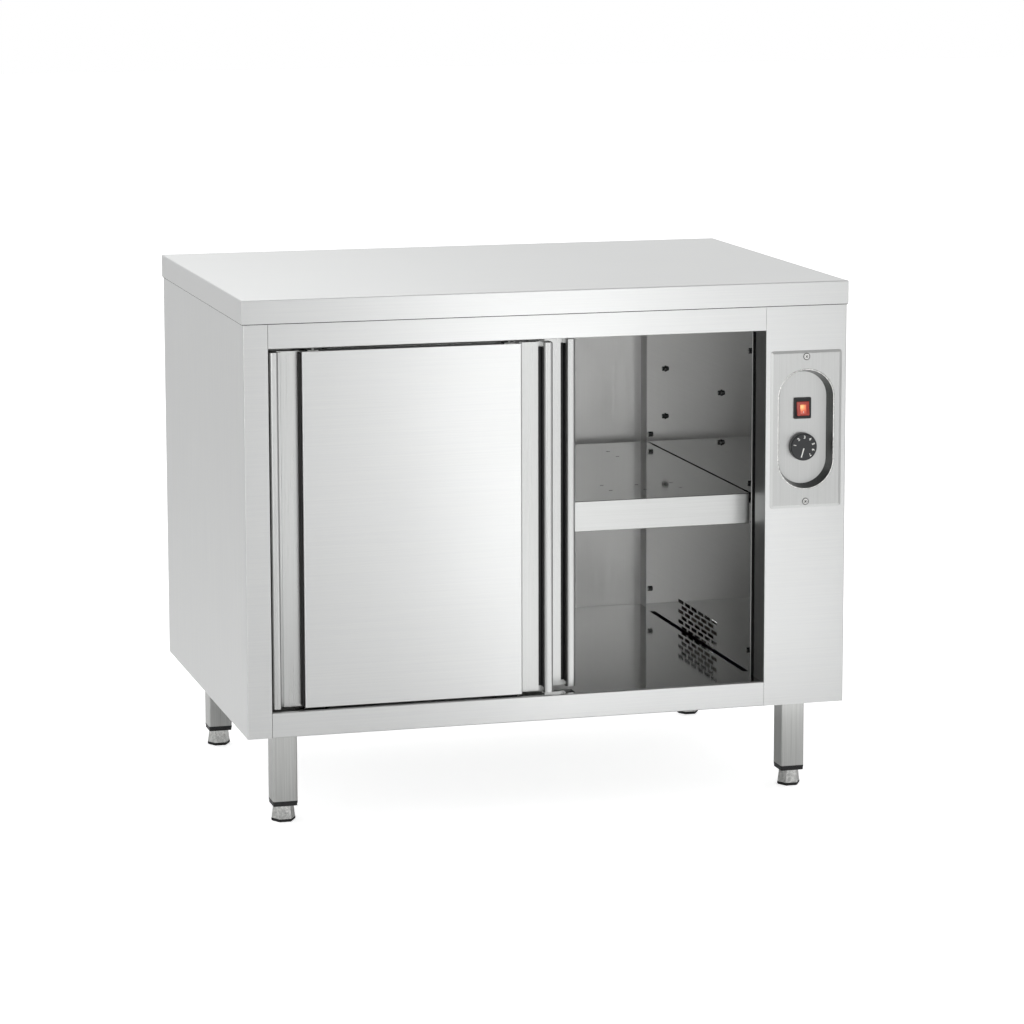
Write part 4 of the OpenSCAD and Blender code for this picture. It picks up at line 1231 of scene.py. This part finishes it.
    def build_rim(self, finishes: FinishSet) -> None:
        """Roll the fine bead that the drawing tool leaves round the recess.

        A ring is turned by half a step, so that no vertex lies level with its middle,
        and its two halves are moved apart into the stadium's outline.

        Args:
            finishes: The cabinet's finishes.
        """
        x, z = self.recess_centre
        steps = 96
        clear_selection()
        bpy.ops.mesh.primitive_torus_add(
            major_segments=steps,
            minor_segments=12,
            major_radius=self.recess_round + self.rim_gap,
            minor_radius=self.rim_radius,
            rotation=(math.pi / 2, math.pi / steps, 0),
        )
        rim = bpy.context.object
        settle(rim)
        front = self.screw_face + self.rim_depth
        for vertex in rim.data.vertices:
            vertex.co.y = front + vertex.co.y * self.rim_flatness
            vertex.co.x += x
            vertex.co.z += z + math.copysign(self.recess_half_straight, vertex.co.z)
        finish_piece(rim, "recess_rim", finishes.plated, "cabinet")

    def build_numbers(self, finishes: FinishSet) -> None:
        """Print the settings round the knob's face.

        Args:
            finishes: The cabinet's finishes.
        """
        for count, angle in enumerate(self.mark_angles, start=1):
            number = printed(
                str(count),
                self.mark_size_mm * MM,
                self.mark_depth_mm * MM / 2,
                self.mark_bold,
                self.at_angle(angle, self.mark_radius_mm),
                (math.pi / 2, math.radians(angle), 0),
            )
            finish_piece(number, f"knob_number_{count}", finishes.ink, "knob")

    def build_pointer(self, finishes: FinishSet) -> None:
        """Print the pointer line on the knob's face, with round ends.

        Args:
            finishes: The cabinet's finishes.
        """
        start = self.at_angle(self.pointer_angle, self.pointer_from_mm)
        stop = self.at_angle(self.pointer_angle, self.pointer_to_mm)
        clear_selection()
        bpy.ops.mesh.primitive_cube_add(size=1, location=(start + stop) / 2)
        line = bpy.context.object
        line.scale = (
            self.pointer_width_mm * MM,
            self.mark_depth_mm * MM,
            (stop - start).length,
        )
        line.rotation_euler = (0, math.radians(self.pointer_angle), 0)
        settle(line)
        bevel = line.modifiers.new("round_ends", "BEVEL")
        bevel.width = self.pointer_width_mm * MM * 0.4
        bevel.segments = 3
        bevel.limit_method = "ANGLE"
        bpy.ops.object.modifier_apply(modifier="round_ends")
        finish_piece(line, "knob_pointer", finishes.ink, "knob")


@dataclass
class HeatingSpace:
    """What stands in the closed space behind the control plate."""

    def dress(self, frame: dict[str, Any], finishes: FinishSet) -> None:
        """Give the heater, the fan and the wiring parts their finishes.

        Args:
            finishes: The cabinet's finishes.
        """
        dress(frame, ("heater_box",), finishes.liner_z)
        dress(frame, ("heater_element",), finishes.heated)
        dress(frame, ("fan_frame", "fan_impeller", "cable_gland"), finishes.black)
        dress(frame, ("terminal_block",), finishes.ceramic)
        dress(frame, ("temperature_sensor",), finishes.copper)


@dataclass
class Legs:
    """Four square tubes with plastic inserts, and the feet that screw into them."""

    corners: tuple[str, ...] = ("front_left", "front_right", "rear_left", "rear_right")

    def dress(self, frame: dict[str, Any], finishes: FinishSet) -> None:
        """Give the legs and feet their finishes.

        Args:
            finishes: The cabinet's finishes.
        """
        dress(frame, [f"leg_{c}" for c in self.corners], finishes.leg)
        dress(frame, [f"foot_{c}" for c in self.corners], finishes.plated)
        dress(frame, [f"pad_{c}" for c in self.corners], finishes.rubber)
        dress(frame, ("leg_inserts",), finishes.black)
        dress(frame, ("leg_bolts",), finishes.plated)


# The studio


@dataclass(frozen=True)
class Lamp:
    """A soft box: a rectangular area light that looks at one point."""

    name: str
    place: Triple
    aim: Triple
    size: Pair
    watts: float

    def build(self) -> None:
        """Hang the lamp in the scene."""
        light = bpy.data.lights.new(self.name, "AREA")
        light.shape = "RECTANGLE"
        light.size, light.size_y = self.size
        light.energy = self.watts
        lamp = bpy.data.objects.new(self.name, light)
        lamp.visible_camera = False
        lamp.location = self.place
        look = Vector(self.aim) - Vector(self.place)
        lamp.rotation_euler = look.to_track_quat("-Z", "Y").to_euler()
        bpy.context.scene.collection.objects.link(lamp)


@dataclass
class Studio:
    """The camera, the soft light and the plain pale floor."""

    eye: Triple = (-1.627825, -6.07167, 1.54292)
    yaw_deg: float = 16.2013
    pitch_deg: float = 8.6107
    focal_px: float = 3780.017
    centre_px: Pair = (573.0, 420.0)
    frame_px: float = 1024.0
    sensor_mm: float = 36.0
    clip_end: float = 60.0
    front_glow: float = 0.5
    back_glow: float = 0.97
    glow_edges: Pair = (-0.3, 0.4)
    floor_size: float = 40.0
    floor_lift: float = 0.66
    lamps: tuple[Lamp, ...] = (
        Lamp("fill_box", (-1.1, -3.4, 0.9), (0.1, -0.3, 0.5), (1.1, 1.7), 14.5),
        Lamp("left_strip", (0.3, -3.4, 0.9), (-0.1, -0.3, 0.5), (0.5, 1.7), 1.3),
        Lamp("key_strip", (0.85, -3.4, 0.9), (0.1, -0.3, 0.5), (0.5, 1.7), 4.6),
        Lamp("right_strip", (1.5, -3.3, 0.9), (0.4, -0.3, 0.5), (0.5, 1.7), 2.6),
        Lamp("floor_strip", (0.45, -1.9, 0.02), (0.45, -1.9, 1.0), (0.7, 2.2), 4.4),
        Lamp("top_box", (-0.6, 0.3, 3.2), (0.0, 0.0, 0.5), (2.4, 2.0), 20.0),
    )

    def build_camera(self) -> None:
        """Stand the camera where the photograph was taken from."""
        data = bpy.data.cameras.new("view")
        data.sensor_width = self.sensor_mm
        data.lens = self.focal_px / self.frame_px * self.sensor_mm
        data.shift_x = (self.frame_px / 2 - self.centre_px[0]) / self.frame_px
        data.shift_y = (self.centre_px[1] - self.frame_px / 2) / self.frame_px
        data.clip_end = self.clip_end
        camera = bpy.data.objects.new("view", data)
        camera.location = self.eye
        yaw, pitch = math.radians(self.yaw_deg), math.radians(self.pitch_deg)
        camera.rotation_euler = (math.pi / 2 - pitch, 0.0, -yaw)
        bpy.context.scene.collection.objects.link(camera)
        bpy.context.scene.camera = camera

    def build_world(self) -> None:
        """Surround the cabinet with a pale studio that is brighter behind it."""
        world = bpy.data.worlds.new("studio")
        bpy.context.scene.world = world
        world.use_nodes = True
        tree = world.node_tree
        tree.nodes.clear()
        path = add_node(tree, "ShaderNodeLightPath")
        place = add_node(tree, "ShaderNodeTexCoord")
        parts = add_node(
            tree, "ShaderNodeSeparateXYZ", links={0: place.outputs["Generated"]}
        )
        depth = add_node(
            tree,
            "ShaderNodeMapRange",
            {
                "interpolation_type": "SMOOTHSTEP",
                "From Min": self.glow_edges[0],
                "From Max": self.glow_edges[1],
                "To Min": self.front_glow,
                "To Max": self.back_glow,
            },
            {"Value": parts.outputs["Y"]},
        )
        around = add_node(
            tree,
            "ShaderNodeBackground",
            {"Color": (1, 1, 1, 1)},
            {"Strength": depth.outputs["Result"]},
        )
        paper = add_node(
            tree, "ShaderNodeBackground", {"Color": (1, 1, 1, 1), "Strength": 1.0}
        )
        seen = add_node(
            tree,
            "ShaderNodeMath",
            {"operation": "MAXIMUM"},
            {
                0: path.outputs["Is Camera Ray"],
                1: path.outputs["Is Transmission Ray"],
            },
        )
        mix = add_node(
            tree,
            "ShaderNodeMixShader",
            links={0: seen.outputs[0], 1: around.outputs[0], 2: paper.outputs[0]},
        )
        add_node(tree, "ShaderNodeOutputWorld", links={0: mix.outputs[0]})

    def build_floor(self) -> None:
        """Lay a pale floor that fades into the background."""
        clear_selection()
        bpy.ops.mesh.primitive_plane_add(size=self.floor_size)
        floor = bpy.context.object
        floor.name = "studio_floor"
        material, tree, shader = new_material("pale_floor")
        shader.inputs["Base Color"].default_value = linear("#f4f4f4")
        shader.inputs["Roughness"].default_value = 0.8
        path = add_node(tree, "ShaderNodeLightPath")
        lift = add_node(
            tree,
            "ShaderNodeMath",
            {"operation": "MULTIPLY", 1: self.floor_lift},
            {0: path.outputs["Is Camera Ray"]},
        )
        shader.inputs["Emission Color"].default_value = (1, 1, 1, 1)
        tree.links.new(lift.outputs[0], shader.inputs["Emission Strength"])
        floor.data.materials.append(material)
        settle(floor)

    def build(self) -> None:
        """Set up the whole studio."""
        bpy.context.scene.view_settings.view_transform = "Standard"
        self.build_camera()
        self.build_world()
        self.build_floor()
        for lamp in self.lamps:
            lamp.build()


def corners(box: tuple[Vector, Vector]) -> list[list[float]]:
    """Turn a box into plain lists of numbers.

    Args:
        box: The lowest and the highest corner.

    Returns:
        The same two corners as lists.
    """
    return [list(corner) for corner in box]


def main() -> None:
    """Build the looks of the cabinet in order."""
    logging.basicConfig(level=logging.INFO, format="%(name)s: %(message)s")
    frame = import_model()
    clear_selection()
    finishes = build_finishes()
    Studio().build()
    for assembly in (Shell(), Liner(), SlidingDoors(), HeatingSpace(), Legs()):
        assembly.dress(frame, finishes)
    Shell().build_seal(finishes)
    Liner().build_marks(finishes)
    SlidingDoors().build_inserts(finishes)
    controls = Controls()
    controls.dress(frame, finishes)
    controls.build_numbers(finishes)
    controls.build_pointer(finishes)
    controls.build_lens(frame, finishes)
    controls.build_screw_slots(finishes)
    controls.build_rim(finishes)


if __name__ == "__main__":
    main()
